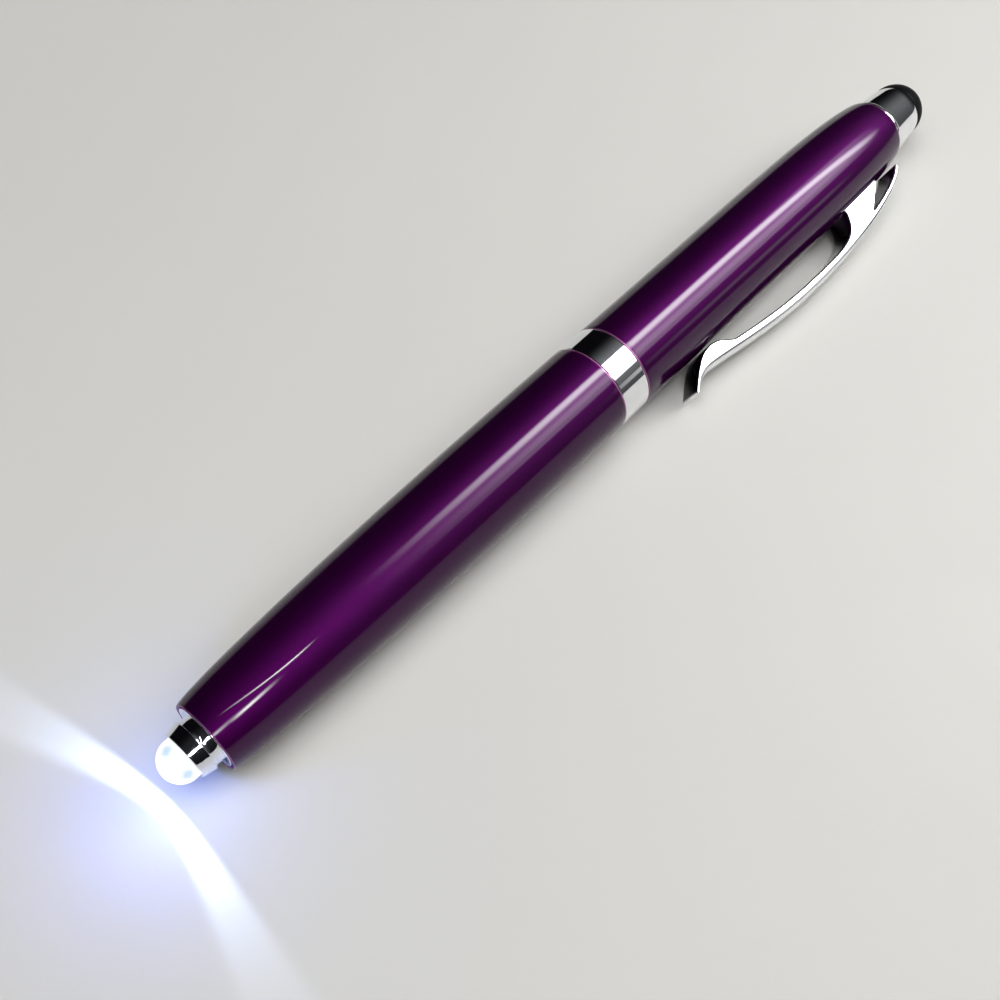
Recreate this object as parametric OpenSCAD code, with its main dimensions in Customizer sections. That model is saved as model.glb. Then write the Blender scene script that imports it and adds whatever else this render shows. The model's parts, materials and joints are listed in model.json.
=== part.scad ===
// Light-up ballpoint pen with a pull-off cap that carries a stylus tip and a clip.
// Sizes are in millimetres. The pen lies on a table, on its barrel and on one edge of its clip.
// Each piece is drawn upright along its own axis and then laid down: u is the distance along the
// axis, zero at the seam between barrel and band, with the stylus above it and the lamp below.

/* [Barrel] */
// Largest outside diameter, shared by barrel, band and cap mouth
barrel_d = 12; // [11:0.1:14]
// Length of the barrel from the band to its lamp end
barrel_len = 61.1; // [54:0.1:80]
// Straight stretch of the barrel beside the band
barrel_straight = 10; // [6:0.5:20]
// Wall of barrel and cap at their thinnest steps
tube_wall = 0.65; // [0.5:0.05:0.9]
// Wall of the barrel around the lamp collar
nose_wall = 0.37; // [0.3:0.01:0.6]
// Small bevel on every visible tube edge
edge = 0.12; // [0.05:0.01:0.2]

/* [Centre band] */
// Visible length of the chrome band
band_len = 4.4; // [3:0.1:7]
// Depth of the band's spigot in the barrel mouth
band_spigot_len = 6; // [3:0.5:9]

/* [Cap] */
// Length of the cap from the band to its stylus end
cap_len = 57.9; // [55:0.1:70]
// Outside diameter of the cap at its stylus end
cap_end_d = 9.7; // [8.8:0.02:10.4]
// Nearly straight stretch of the cap beside the band
cap_straight = 17.9; // [14:0.1:26]
// How much that stretch narrows away from the band, on the radius
cap_taper = 0.02; // [0.01:0.01:0.1]
// Length of the plastic liner that grips the writing section
liner_len = 29; // [18:0.5:32]
// Wall of the liner
liner_wall = 0.55; // [0.4:0.05:0.8]
// Radial play between the liner and the writing section
cap_play = 0.08; // [0.05:0.01:0.1]

/* [Clip] */
// Length of the clip from its tail to its flared lip
clip_len = 49.9; // [46:0.1:51]
// Width of the clip strip
clip_w = 4.4; // [3.4:0.1:5.4]
// Thickness of the clip arm
arm_thick = 1.05; // [0.8:0.05:1.3]
// Thickness of the clip at its tail end
tail_thick = 0.55; // [0.4:0.05:0.7]
// Height of the clip's crest above the cap mouth's surface
clip_rise = 4.17; // [3.4:0.01:5]
// Height of the hollow behind the lip above the cap mouth's surface
clip_dip = 2.13; // [1.6:0.01:2.6]
// How far the lip flares up from that hollow
lip_flare = 1.5; // [0.8:0.01:1.8]
// Length of the flared lip
lip_len = 3.8; // [3:0.1:4.6]
// Thickness of the lip at its end
lip_thick = 0.4; // [0.25:0.05:0.6]
// Distance of the clip's contact bump from its lip
bump_set = 5.7; // [5:0.1:6.5]
// Gap between the contact bump and the cap
bump_gap = 0.15; // [0.1:0.01:0.3]
// Distance of the crest from the clip's tail
crest_set = 25; // [23:0.1:28]
// Distance of the clip's tail from the cap's stylus end
tail_set = 2.35; // [1.5:0.05:4]
// Height of the tail's outer face above the cap
tail_gap = 0.85; // [0.8:0.05:1.4]
// Width of the foot between the clip strip and the cap
foot_w = 4.2; // [3.4:0.1:4.4]
// Distance of the foot's back end from the clip's tail
foot_set = 4.9; // [4:0.1:6]
// Length of the foot along the cap
foot_len = 7.9; // [7:0.1:9]
// Width of the tongue that goes through the cap wall
tongue_w = 2; // [1.5:0.1:2.3]
// Length of the tongue along the pen
tongue_len = 4; // [3:0.1:5]
// Distance of the tongue's middle from the clip's tail
tongue_set = 8.8; // [8:0.1:10]
// Length of the ring inside the cap that holds the tongue
retainer_len = 7; // [6:0.1:8]
// Wall of that ring
retainer_wall = 1.2; // [0.9:0.1:1.5]

/* [Stylus] */
// Length of the chrome ferrule
ferrule_len = 6.3; // [4:0.1:7]
// Step from the cap's end in to the ferrule
ferrule_step = 0.17; // [0.1:0.01:0.3]
// Length of the ferrule's rolled end
ferrule_roll_len = 1.1; // [0.6:0.1:1.5]
// How far that end rolls in from the cone, on the radius
ferrule_roll_in = 0.12; // [0.04:0.02:0.2]
// Length of the ferrule's spigot inside the cap
ferrule_spigot_len = 4.8; // [3:0.1:5.5]
// Diameter of the rubber dome
stylus_d = 7.7; // [7:0.1:8.2]
// Length of the straight stretch between the ferrule and the rubber dome
stylus_straight = 0.1; // [0.1:0.1:2]
// Wall of the rubber dome
stylus_wall = 0.8; // [0.6:0.05:1]
// Step from the dome in to its stem inside the ferrule
stylus_step = 0.65; // [0.5:0.05:0.8]
// Length of the dome's stem inside the ferrule
stem_len = 4.2; // [3:0.1:4.8]

/* [Writing end] */
// Visible length of the writing section when the cap is off
section_len = 31.6; // [27:0.1:33]
// How much slimmer the section gets towards its nose, on the radius
section_taper = 0.9; // [0.5:0.05:1.1]
// Step from the section in to its threaded tail
thread_step = 0.7; // [0.5:0.05:0.9]
// Distance from the refill's back end to the section's threaded tail
thread_set = 4; // [3:0.1:6]
// Length of the nose cone
cone_len = 11; // [9:0.1:13]
// Length of the cone's spigot inside the section
cone_spigot_len = 5; // [3:0.1:7]
// Wall of the cone's spigot
cone_spigot_wall = 1; // [0.7:0.05:1.3]
// Wall of the cone at its mouth
cone_mouth_wall = 0.35; // [0.25:0.05:0.5]
// Outside diameter of the refill
refill_d = 2.35; // [2.2:0.05:2.6]
// Length of the refill from nib to back end
refill_len = 67; // [64:0.1:69]
// Wall of the refill tube
refill_wall = 0.32; // [0.25:0.01:0.4]
// Room around the refill inside the section
refill_room = 0.6; // [0.4:0.05:0.8]
// Length of the brass nib in front of the refill tube
nib_len = 8; // [6:0.1:10]
// Length of the nib's stem inside the refill tube
nib_stem_len = 3; // [2:0.1:4]
// How far the nib stands out of the cone
nib_out = 2; // [1.5:0.1:2.6]
// Diameter of the writing ball
ball_d = 1; // [0.7:0.05:1.1]
// Length of the empty end of the refill tube behind the ink
ink_set = 9; // [4:0.5:20]
// Floor of the insert behind the refill
insert_floor = 1.5; // [1:0.1:2.5]

/* [Lamp] */
// Diameter of the light-emitting diode's clear body
led_d = 5; // [4.8:0.05:5.2]
// Height of the diode from its base to its dome
led_h = 8.7; // [8.4:0.1:9.2]
// How far the diode's dome stands out of the lamp ring
led_out = 3; // [2.6:0.1:4]
// Width of the flange at the diode's base
led_flange = 0.4; // [0.3:0.05:0.5]
// Thickness of that flange
led_flange_t = 1; // [0.8:0.05:1.2]
// Width of each of the diode's leads
lead_w = 0.5; // [0.4:0.05:0.6]
// Distance between the leads
lead_pitch = 2.54; // [2.2:0.02:2.7]
// Height of the lead frame inside the diode above its base
lead_rise = 5; // [4.2:0.1:5.4]
// Length of the ring in front of its groove
ring_len = 1.7; // [1.4:0.1:2.2]
// Wall of the ring at its front edge
ring_lip = 0.34; // [0.25:0.01:0.5]
// How much the ring widens from front to back, on the radius
ring_flare = 0.36; // [0.2:0.01:0.45]
// Visible length of the ring's neck
neck_len = 1.1; // [0.8:0.1:1.5]
// Wall of the ring's neck
neck_wall = 0.4; // [0.3:0.01:0.5]
// Wall of the ring's threaded shank around the diode's flange
shank_wall = 0.45; // [0.35:0.01:0.6]
// Wall of the fixed collar around the shank
collar_wall = 0.5; // [0.4:0.01:0.6]
// Thickness of the collar's lip around the neck
collar_lip = 0.6; // [0.5:0.05:0.8]
// How far the lamp head unscrews to switch off
lamp_travel = 0.5; // [0.4:0.05:0.6]
// Thickness of the washer that keeps the diode in the ring
washer_t = 0.5; // [0.4:0.05:0.7]
// Radius of the washer's hole, which the leads pass through
washer_hole_r = 1.8; // [1.7:0.05:2.2]
// Thickness of the contact board
board_t = 0.8; // [0.6:0.1:1.2]
// Diameter of the contact pin
pin_d = 2.2; // [1.6:0.1:2.6]
// Length of the contact pin
pin_len = 0.85; // [0.75:0.05:1.2]

/* [Power] */
// Diameter of one button cell
cell_d = 7.9; // [6.8:0.1:7.9]
// Height of one button cell
cell_h = 3.6; // [3:0.1:3.8]
// Step from a cell's can in to its minus cap
cell_step = 0.7; // [0.5:0.05:1]
// Height of a cell's minus cap
cell_cap_h = 0.3; // [0.2:0.05:0.5]
// Wall of the insulating sleeve around the cells
sleeve_wall = 0.25; // [0.2:0.01:0.3]
// Thickness of the sleeve's lip in front of the cells
sleeve_lip = 0.5; // [0.3:0.05:0.7]
// Length of the spring behind the cells
spring_len = 6; // [4:0.5:7]
// Wire diameter of the spring
spring_wire = 0.5; // [0.4:0.05:0.6]
// Diameter of the spring, measured between wire centres
spring_d = 5.4; // [4.4:0.1:5.8]
// Number of turns of the spring
spring_turns = 4; // [3:1:5]
// Length of the earth plug behind the spring
plug_len = 3; // [2:0.5:4]

/* [Fits] */
// Radial gap between pieces that are pressed or screwed together
fit_gap = 0.03; // [0.02:0.01:0.05]
// Radial gap of pieces that turn or slide in one another
run_gap = 0.05; // [0.03:0.01:0.06]
// Gap along the pen where two pieces meet end to end
seam_gap = 0.05; // [0.03:0.01:0.08]

/* [Hidden] */
$fn = 72;
curve_steps = 24;
spring_sides = 6;
rings_per_turn = 12;

// Shape of the swell from each end of the pen to its straight middle
barrel_swell = [2.3, 0.58];
cap_swell = [5, 0.8];
function swell(t, shape) = pow(1 - pow(1 - t, shape[0]), shape[1]);

// Points on a curve with four control points, and the direction there
function bezier(p, t) =
    pow(1 - t, 3) * p[0] + 3 * t * pow(1 - t, 2) * p[1] + 3 * t * t * (1 - t) * p[2] + pow(t, 3) * p[3];
function bezier_way(p, t) =
    pow(1 - t, 2) * (p[1] - p[0]) + 2 * t * (1 - t) * (p[2] - p[1]) + t * t * (p[3] - p[2]);
function below(p, t, depth) =
    let (way = bezier_way(p, t))
    bezier(p, t) + depth * [way[1], -way[0]] / norm(way);
function steps(count) = [for (i = [0 : count]) i / count];

// Radii of barrel, band and cap
barrel_r = barrel_d / 2;
mouth_r = barrel_r - tube_wall;
cap_end_r = cap_end_d / 2;

// Places along the cap
cap_u0 = band_len + seam_gap;
cap_u1 = cap_u0 + cap_len;
cap_swell_len = cap_len - cap_straight;
cap_straight_r = barrel_r - cap_taper;
function cap_r(u) =
    u <= cap_u0 + cap_straight
        ? barrel_r - cap_taper * (u - cap_u0) / cap_straight
        : cap_end_r + (cap_straight_r - cap_end_r) * swell((cap_u1 - u) / cap_swell_len, cap_swell);
liner_set = 4 * edge;
liner_u1 = cap_u0 + liner_len;
tail_u = cap_u1 - tail_set;
tongue_u = tail_u - tongue_set;
retainer_u0 = tongue_u - retainer_len / 2;
retainer_u1 = tongue_u + retainer_len / 2;
cap_mid_u = liner_u1 + seam_gap;
cap_mid_end_u = retainer_u1 + seam_gap;
cap_mid_r = cap_r(cap_mid_end_u) - tube_wall;
cap_bore_r = cap_end_r - tube_wall;
retainer_r = cap_mid_r - fit_gap;

// Radii of liner, writing section and nose cone
liner_r = mouth_r - fit_gap;
liner_bore_r = liner_r - liner_wall;
section_r = liner_bore_r - cap_play;
section_nose_r = section_r - section_taper;
thread_r = section_r - thread_step;
refill_r = refill_d / 2;
section_bore_r = refill_r + refill_room;
cone_bore_r = refill_r + run_gap;
cone_spigot_r = cone_bore_r + cone_spigot_wall;
cone_mouth_r = cone_bore_r + cone_mouth_wall;
nib_r = refill_r - fit_gap;
nib_stem_r = refill_r - refill_wall - fit_gap;
nib_edge = 0.08;
ball_r = ball_d / 2;
ball_gap = 0.015;
ball_show = 0.3;
nib_end_r = sqrt(pow(ball_r, 2) - pow(ball_r * (1 - 2 * ball_show), 2)) + nib_edge;

// Places along the writing end
section_u1 = band_len + section_len;
cone_u1 = section_u1 + cone_len;
nib_u = cone_u1 + nib_out;
ball_u = nib_u - ball_r + 2 * ball_r * ball_show;
refill_u0 = nib_u - refill_len;
tube_u1 = nib_u - nib_len;
thread_u0 = refill_u0 + thread_set;
insert_u0 = refill_u0 - seam_gap - insert_floor;
insert_u1 = -band_spigot_len - seam_gap;

// Radii of the lamp head and of the barrel's lamp end
led_r = led_d / 2;
led_flange_r = led_r + led_flange;
ring_bore_r = led_r + run_gap;
ring_front_r = ring_bore_r + ring_lip;
ring_back_r = ring_front_r + ring_flare;
neck_r = ring_bore_r + neck_wall;
shank_bore_r = led_flange_r + run_gap;
shank_r = shank_bore_r + shank_wall;
collar_bore_r = shank_r + run_gap;
collar_lip_r = neck_r + run_gap;
collar_r = collar_bore_r + collar_wall;
nose_bore_r = collar_r + fit_gap;
nose_r = nose_bore_r + nose_wall;
pin_r = pin_d / 2;
lead_head_h = 2 * lead_w;

// Places along the lamp end
nose_u = -barrel_len;
ring_u1 = nose_u - neck_len;
ring_u0 = ring_u1 - ring_len;
led_u0 = ring_u0 - led_out;
led_u1 = led_u0 + led_h;
flange_u0 = led_u1 - led_flange_t;
shank_u0 = nose_u + collar_lip + lamp_travel;
washer_u0 = led_u1 + seam_gap;
shank_u1 = washer_u0 + washer_t;
board_u0 = shank_u1 + seam_gap;
board_u1 = board_u0 + board_t;
cell_u0 = board_u1 + pin_len;
sleeve_u0 = cell_u0 - sleeve_lip;
power_u0 = sleeve_u0 - seam_gap;
collar_u1 = power_u0 - seam_gap;

// Radii and places of the cells, spring and plug
cell_count = 3;
cell_r = cell_d / 2;
sleeve_bore_r = cell_r + run_gap;
sleeve_r = sleeve_bore_r + sleeve_wall;
sleeve_hole_r = 2 * pin_r;
power_r = sleeve_r + fit_gap;
cell_u1 = cell_u0 + cell_count * cell_h;
spring_u1 = cell_u1 + spring_len;
plug_u1 = spring_u1 + plug_len;
function cell_place(index) = cell_u0 + index * cell_h;

// Stylus
stylus_r = stylus_d / 2;
ferrule_u0 = cap_u1 + seam_gap;
ferrule_u1 = ferrule_u0 + ferrule_len;
ferrule_spigot_u0 = cap_u1 - ferrule_spigot_len;
ferrule_base_r = cap_end_r - ferrule_step;
ferrule_end_r = stylus_r + fit_gap;
function ferrule_cone_r(u) =
    ferrule_base_r + (ferrule_end_r - ferrule_base_r) * (u - ferrule_u0) / ferrule_len;
ferrule_spigot_r = cap_bore_r - fit_gap;
ferrule_bore_r = stylus_r - stylus_step;
stem_r = ferrule_bore_r - fit_gap;
stem_bore_r = stem_r - stylus_wall;
stem_u0 = ferrule_u1 - stem_len;
dome_u0 = ferrule_u1 + seam_gap;
dome_mid_u = dome_u0 + stylus_straight;
dome_u1 = dome_mid_u + stylus_r;
dome_bore_r = stylus_r - stylus_wall;
post_r = stem_bore_r - fit_gap;
post_u1 = dome_u0 + stylus_wall;

// Side outline of the clip, as points along the pen and out from its axis
lip_u = tail_u - clip_len;
crest_u = tail_u - crest_set;
dip_u = lip_u + lip_len;
bump_u = lip_u + bump_set;
crest_r = barrel_r + clip_rise;
dip_r = barrel_r + clip_dip;
lip_r = dip_r + lip_flare;
bump_r = cap_r(bump_u) + bump_gap;
tail_r = cap_r(tail_u) + tail_gap;
foot_u1 = tail_u - foot_set;
foot_u0 = foot_u1 - foot_len;
dip_pull = 3.1;
crest_pull = 10;
tail_pull = 12;
tail_slope = [2.2, -2.3];
lip_slope = [1.1, -0.8];
lip_pull = 1.6;
lip_curve = [[lip_u, lip_r], [lip_u, lip_r] + lip_slope, [dip_u - lip_pull, dip_r], [dip_u, dip_r]];
arm_curve = [[dip_u, dip_r], [dip_u + dip_pull, dip_r], [crest_u - crest_pull, crest_r], [crest_u, crest_r]];
tail_end = [tail_u, tail_r];
tail_curve = [[crest_u, crest_r], [crest_u + tail_pull, crest_r], tail_end - tail_slope, tail_end];
function strip_thick(t) = arm_thick + (tail_thick - arm_thick) * t;

// Underside of the arm: it leaves the strip at the neck and swells into the contact bump
neck_t = 0.42;
neck_pt = below(arm_curve, neck_t, arm_thick);
neck_way = [1.8, 0.1];
bump_pull_back = 2.8;
bump_pull_front = 2.2;
lip_way = [1.5, -1.2];
lip_pt = [lip_u, lip_r - lip_thick];
bump_back = [[bump_u, bump_r], [bump_u + bump_pull_back, bump_r], neck_pt - neck_way, neck_pt];
bump_front = [lip_pt, lip_pt + lip_way, [bump_u - bump_pull_front, bump_r], [bump_u, bump_r]];

// Foot: a fillet at its front from the strip down to the cap, and an open notch behind it
fillet_t = 0.14;
notch_t = 0.5;
fillet_top = below(tail_curve, fillet_t, strip_thick(fillet_t));
notch_top = below(tail_curve, notch_t, strip_thick(notch_t));
fillet_foot = [foot_u0, cap_r(foot_u0)];
fillet_way = [4.9, 0];
foot_way = [-1, 2.2];
foot_curve = [fillet_top, fillet_top + fillet_way, fillet_foot + foot_way, fillet_foot];
foot_sink = 1;
foot_floor_r = cap_end_r - foot_sink;

// Rest pose: the clip's crest edge is as low as the barrel's underside
crest_corner = norm([crest_r, clip_w / 2]);
clip_roll = asin(barrel_r / crest_corner) - atan(clip_w / 2 / crest_r);
clip_reach = crest_r * cos(clip_roll) + clip_w / 2 * sin(clip_roll);
mid_u = (led_u0 + dome_u1) / 2;
axis_y = (clip_reach - barrel_r) / 2;

lacquer = "#4a1568";
chrome = "#d6d8de";
rubber = "#1c1c1f";
brass = "#c9a452";
steel = "#b9bcc2";
dark_plastic = "#26262b";
white_plastic = "#e6e6e2";
clear_resin = "#d9ecff";
board_green = "#1f6b45";
ink_blue = "#15246e";

// Turns an upright piece into its place on the table
module lay() {
    translate([-mid_u, axis_y, barrel_r]) rotate([clip_roll - 90, 0, 0]) rotate([0, 90, 0]) children();
}

// Round piece from an outline of [radius, place along the pen]
module turned(outline) {
    rotate_extrude() polygon(outline);
}

// Plain ring or disc
module ring(u0, u1, outer_r, inner_r = 0) {
    turned([[inner_r, u0], [outer_r, u0], [outer_r, u1], [inner_r, u1]]);
}

// Flat piece from a side outline of [place along the pen, distance from its axis]
module side_plate(outline, width) {
    rotate([0, -90, 0]) rotate([90, 0, 0]) translate([0, 0, -width / 2])
        linear_extrude(width) polygon([for (p = outline) [p[0], -p[1]]]);
}

// Outer outline of the barrel, from the lamp end to the band
function barrel_outline() =
    let (swell_len = barrel_len - barrel_straight - edge)
    concat(
        [[nose_r - edge, nose_u]],
        [for (t = steps(curve_steps))
            [nose_r + (barrel_r - nose_r) * swell(t * t, barrel_swell), nose_u + edge + t * t * swell_len]],
        [[barrel_r, -edge], [barrel_r - edge, 0]]
    );

// Outer outline of the cap, from the band to the stylus end, with room added outside it
function cap_outline(room = 0) =
    concat(
        [[barrel_r - edge + room, cap_u0], [barrel_r + room, cap_u0 + edge]],
        [for (t = steps(curve_steps))
            let (back = pow(1 - t, 2) * (cap_swell_len - edge))
            [cap_r(cap_u1 - back) + room, cap_u1 - edge - back]],
        [[cap_end_r - edge + room, cap_u1]]
    );

module barrel_shell() {
    bore = [
        [mouth_r, 0], [mouth_r, insert_u0 - seam_gap], [power_r, insert_u0 - seam_gap],
        [power_r, power_u0], [nose_bore_r, power_u0], [nose_bore_r, nose_u]
    ];
    color(lacquer) lay() turned(concat(barrel_outline(), bore));
}

module centre_band() {
    color(chrome) lay() turned([
        [thread_r + fit_gap, -band_spigot_len], [mouth_r - fit_gap, -band_spigot_len],
        [mouth_r - fit_gap, seam_gap], [barrel_r - edge, seam_gap], [barrel_r, seam_gap + edge],
        [barrel_r, band_len - edge], [barrel_r - edge, band_len], [thread_r + fit_gap, band_len]
    ]);
}

module section_insert() {
    color(white_plastic) lay() turned([
        [0, insert_u0], [mouth_r - fit_gap, insert_u0], [mouth_r - fit_gap, insert_u1],
        [thread_r + fit_gap, insert_u1], [thread_r + fit_gap, thread_u0 - seam_gap],
        [refill_r + run_gap, thread_u0 - seam_gap], [refill_r + run_gap, insert_u0 + insert_floor],
        [0, insert_u0 + insert_floor]
    ]);
}

module grip_section() {
    socket_r = cone_spigot_r + fit_gap;
    socket_u = section_u1 - cone_spigot_len - seam_gap;
    color(dark_plastic) lay() turned([
        [section_bore_r, thread_u0], [thread_r, thread_u0], [thread_r, band_len + seam_gap],
        [section_r, band_len + seam_gap], [section_r, cap_u0 + liner_set + edge],
        [section_nose_r, section_u1], [socket_r, section_u1], [socket_r, socket_u], [section_bore_r, socket_u]
    ]);
}

module nose_cone() {
    color(chrome) lay() turned([
        [cone_bore_r, section_u1 - cone_spigot_len], [cone_spigot_r, section_u1 - cone_spigot_len],
        [cone_spigot_r, section_u1 + seam_gap], [section_nose_r - fit_gap, section_u1 + seam_gap],
        [cone_mouth_r, cone_u1], [cone_bore_r, cone_u1]
    ]);
}

module refill_tube() {
    color(steel) lay() ring(refill_u0, tube_u1, refill_r, refill_r - refill_wall);
}

module refill_ink() {
    color(ink_blue) lay() ring(refill_u0 + ink_set, tube_u1 - nib_stem_len - seam_gap, nib_stem_r);
}

// Brass nib: a stem in the tube, a shoulder, a taper and a socket for the ball
module refill_nib() {
    stem_end = tube_u1 - nib_stem_len;
    color(brass) lay() difference() {
        turned([
            [0, stem_end], [nib_stem_r, stem_end], [nib_stem_r, tube_u1 + seam_gap],
            [nib_r, tube_u1 + seam_gap], [nib_r, cone_u1], [nib_end_r, nib_u], [0, nib_u]
        ]);
        translate([0, 0, ball_u]) sphere(ball_r + ball_gap);
    }
}

module writing_ball() {
    color(steel) lay() translate([0, 0, ball_u]) sphere(ball_r);
}

module lamp_collar() {
    color(chrome) lay() turned([
        [collar_lip_r, nose_u], [collar_r, nose_u], [collar_r, collar_u1], [collar_bore_r, collar_u1],
        [collar_bore_r, nose_u + collar_lip], [collar_lip_r, nose_u + collar_lip]
    ]);
}

// Lamp ring: a flared front, a slim neck and a threaded shank behind the collar's lip
module lamp_ring() {
    color(chrome) lay() turned([
        [ring_bore_r, ring_u0], [ring_front_r - edge, ring_u0], [ring_front_r, ring_u0 + edge],
        [ring_back_r, ring_u1 - edge], [ring_back_r - edge, ring_u1], [neck_r, ring_u1], [neck_r, shank_u0],
        [shank_r, shank_u0], [shank_r, shank_u1], [shank_bore_r, shank_u1],
        [shank_bore_r, flange_u0 - seam_gap], [ring_bore_r, flange_u0 - seam_gap]
    ]);
}

module led_washer() {
    color(steel) lay() ring(washer_u0, washer_u0 + washer_t, shank_bore_r - fit_gap, washer_hole_r);
}

// The two leads, with a wide head on one and a slim post on the other
module lead_pair(room = 0) {
    size = lead_w + 2 * room;
    for (side = [-1, 1])
        translate([side * lead_pitch / 2 - size / 2, -size / 2, led_u1 - lead_rise - room])
            cube([size, size, board_u0 - led_u1 + lead_rise + room]);
    translate([-lead_pitch / 2 - size / 2, -size / 2, led_u1 - lead_rise - room])
        cube([lead_pitch / 2 + size, size, lead_head_h + 2 * room]);
}

// Clear diode: a domed cylinder on a flange, cast around its leads
module led_body() {
    color(clear_resin) lay() difference() {
        union() {
            translate([0, 0, led_u0 + led_r]) sphere(led_r);
            ring(led_u0 + led_r, led_u1, led_r);
            ring(flange_u0, led_u1, led_flange_r);
        }
        lead_pair(fit_gap);
    }
}

module led_leads() {
    color(steel) lay() lead_pair();
}

module contact_board() {
    color(board_green) lay() ring(board_u0, board_u1, led_flange_r);
}

module contact_pin() {
    color(brass) lay() ring(board_u1, cell_u0, pin_r);
}

module battery_sleeve() {
    color(white_plastic) lay() turned([
        [sleeve_hole_r, sleeve_u0], [sleeve_r, sleeve_u0], [sleeve_r, spring_u1], [sleeve_bore_r, spring_u1],
        [sleeve_bore_r, cell_u0], [sleeve_hole_r, cell_u0]
    ]);
}

// One button cell, plus side towards the lamp
module cell(index) {
    u0 = cell_place(index);
    u1 = u0 + cell_h;
    color(steel) lay() turned([
        [0, u0], [cell_r - edge, u0], [cell_r, u0 + edge], [cell_r, u1 - cell_cap_h],
        [cell_r - cell_step, u1 - cell_cap_h], [cell_r - cell_step, u1], [0, u1]
    ]);
}

module battery_1() {
    cell(0);
}

module battery_2() {
    cell(1);
}

module battery_3() {
    cell(2);
}

// Spring: one wire wound as a helix from the last cell to the earth plug
module battery_spring() {
    wire_r = spring_wire / 2;
    count = spring_turns * rings_per_turn;
    rise = spring_len - spring_wire - 2 * seam_gap;
    points = [
        for (i = [0 : count])
            let (turn = 360 * i / rings_per_turn, u = cell_u1 + seam_gap + wire_r + rise * i / count)
            for (k = [0 : spring_sides - 1])
                let (around = 360 * k / spring_sides, out = spring_d / 2 + wire_r * cos(around))
                [out * cos(turn), out * sin(turn), u + wire_r * sin(around)]
    ];
    walls = [
        for (i = [0 : count - 1])
            for (k = [0 : spring_sides - 1])
                let (a = i * spring_sides + k, b = i * spring_sides + (k + 1) % spring_sides)
                for (face = [[a, a + spring_sides, b], [b, a + spring_sides, b + spring_sides]]) face
    ];
    first = [for (k = [1 : spring_sides - 2]) [0, k, k + 1]];
    last_ring = count * spring_sides;
    last = [for (k = [1 : spring_sides - 2]) [last_ring, last_ring + k + 1, last_ring + k]];
    color(steel) lay() polyhedron(points, concat(walls, first, last));
}

module earth_plug() {
    color(brass) lay() ring(spring_u1, plug_u1, power_r - fit_gap);
}

// Box through the cap wall for the clip's tongue, with room added around it
module tongue(room = 0) {
    inner = retainer_r - retainer_wall / 2 - room;
    outer = cap_r(tongue_u) + foot_sink;
    wide = tongue_w + 2 * room;
    long = tongue_len + 2 * room;
    translate([inner, -wide / 2, tongue_u - long / 2]) cube([outer - inner, wide, long]);
}

module cap_shell() {
    bore = [
        [cap_bore_r, cap_u1], [cap_bore_r, cap_mid_end_u], [cap_mid_r, cap_mid_end_u], [cap_mid_r, cap_mid_u],
        [mouth_r, cap_mid_u], [mouth_r, cap_u0]
    ];
    color(lacquer) lay() difference() {
        turned(concat(cap_outline(), bore));
        tongue(fit_gap);
    }
}

module cap_liner() {
    color(dark_plastic) lay() ring(cap_u0 + liner_set, liner_u1, liner_r, liner_bore_r);
}

// Clip arm: the sprung strip with its contact bump and flared lip, rounded where it bends
module clip_arm() {
    top = concat(
        [for (t = steps(curve_steps)) bezier(arm_curve, 1 - t)],
        [for (t = steps(curve_steps)) bezier(lip_curve, 1 - t)]
    );
    under = concat(
        [for (t = steps(curve_steps)) bezier(bump_front, t)],
        [for (t = steps(curve_steps)) bezier(bump_back, t)],
        [for (t = steps(curve_steps)) below(arm_curve, neck_t + (1 - neck_t) * t, arm_thick)]
    );
    color(chrome) lay() {
        side_plate(concat(top, under), clip_w);
        bend_axis() cylinder(h = clip_w, r = arm_thick / 2, center = true);
    }
}

// Line across the clip that the arm bends about
module bend_axis() {
    translate([crest_r - arm_thick / 2, 0, crest_u]) rotate([90, 0, 0]) children();
}

// Clip foot: the fixed tail of the strip, the foot on the cap and the tongue through its wall
module clip_foot() {
    strip = concat(
        [for (t = steps(curve_steps)) bezier(tail_curve, t)],
        [for (t = steps(curve_steps)) below(tail_curve, 1 - t, strip_thick(1 - t))]
    );
    foot = concat(
        [for (t = steps(curve_steps)) bezier(foot_curve, t)],
        [[foot_u0, foot_floor_r], [foot_u1, foot_floor_r], [foot_u1, cap_r(foot_u1)], notch_top],
        [for (t = steps(curve_steps))
            let (along = notch_t + (fillet_t - notch_t) * t)
            below(tail_curve, along, strip_thick(along) / 2)]
    );
    color(chrome) lay() {
        difference() {
            union() {
                side_plate(strip, clip_w);
                side_plate(foot, foot_w);
            }
            turned(concat([[0, cap_u0]], cap_outline(fit_gap), [[0, cap_u1]]));
            bend_axis() cylinder(h = 2 * clip_w, r = arm_thick / 2 + run_gap, center = true);
        }
        tongue();
    }
}

module clip_retainer() {
    color(brass) lay() difference() {
        ring(retainer_u0, retainer_u1, retainer_r, retainer_r - retainer_wall);
        tongue(fit_gap);
    }
}

module stylus_ferrule() {
    roll = [for (t = [0:0.25:1]) let (u = ferrule_u1 - ferrule_roll_len * (1 - t))
        [ferrule_cone_r(u) - ferrule_roll_in * t * t, u]];
    color(chrome) lay() turned(concat([
        [ferrule_bore_r, ferrule_spigot_u0], [ferrule_spigot_r, ferrule_spigot_u0],
        [ferrule_spigot_r, ferrule_u0], [ferrule_base_r, ferrule_u0]
    ], roll, [[ferrule_bore_r, ferrule_u1]]));
}

module stylus_core() {
    color(white_plastic) lay() turned([
        [0, ferrule_spigot_u0], [ferrule_bore_r - fit_gap, ferrule_spigot_u0],
        [ferrule_bore_r - fit_gap, stem_u0 - seam_gap], [post_r, stem_u0 - seam_gap],
        [post_r, post_u1], [0, post_u1]
    ]);
}

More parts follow.
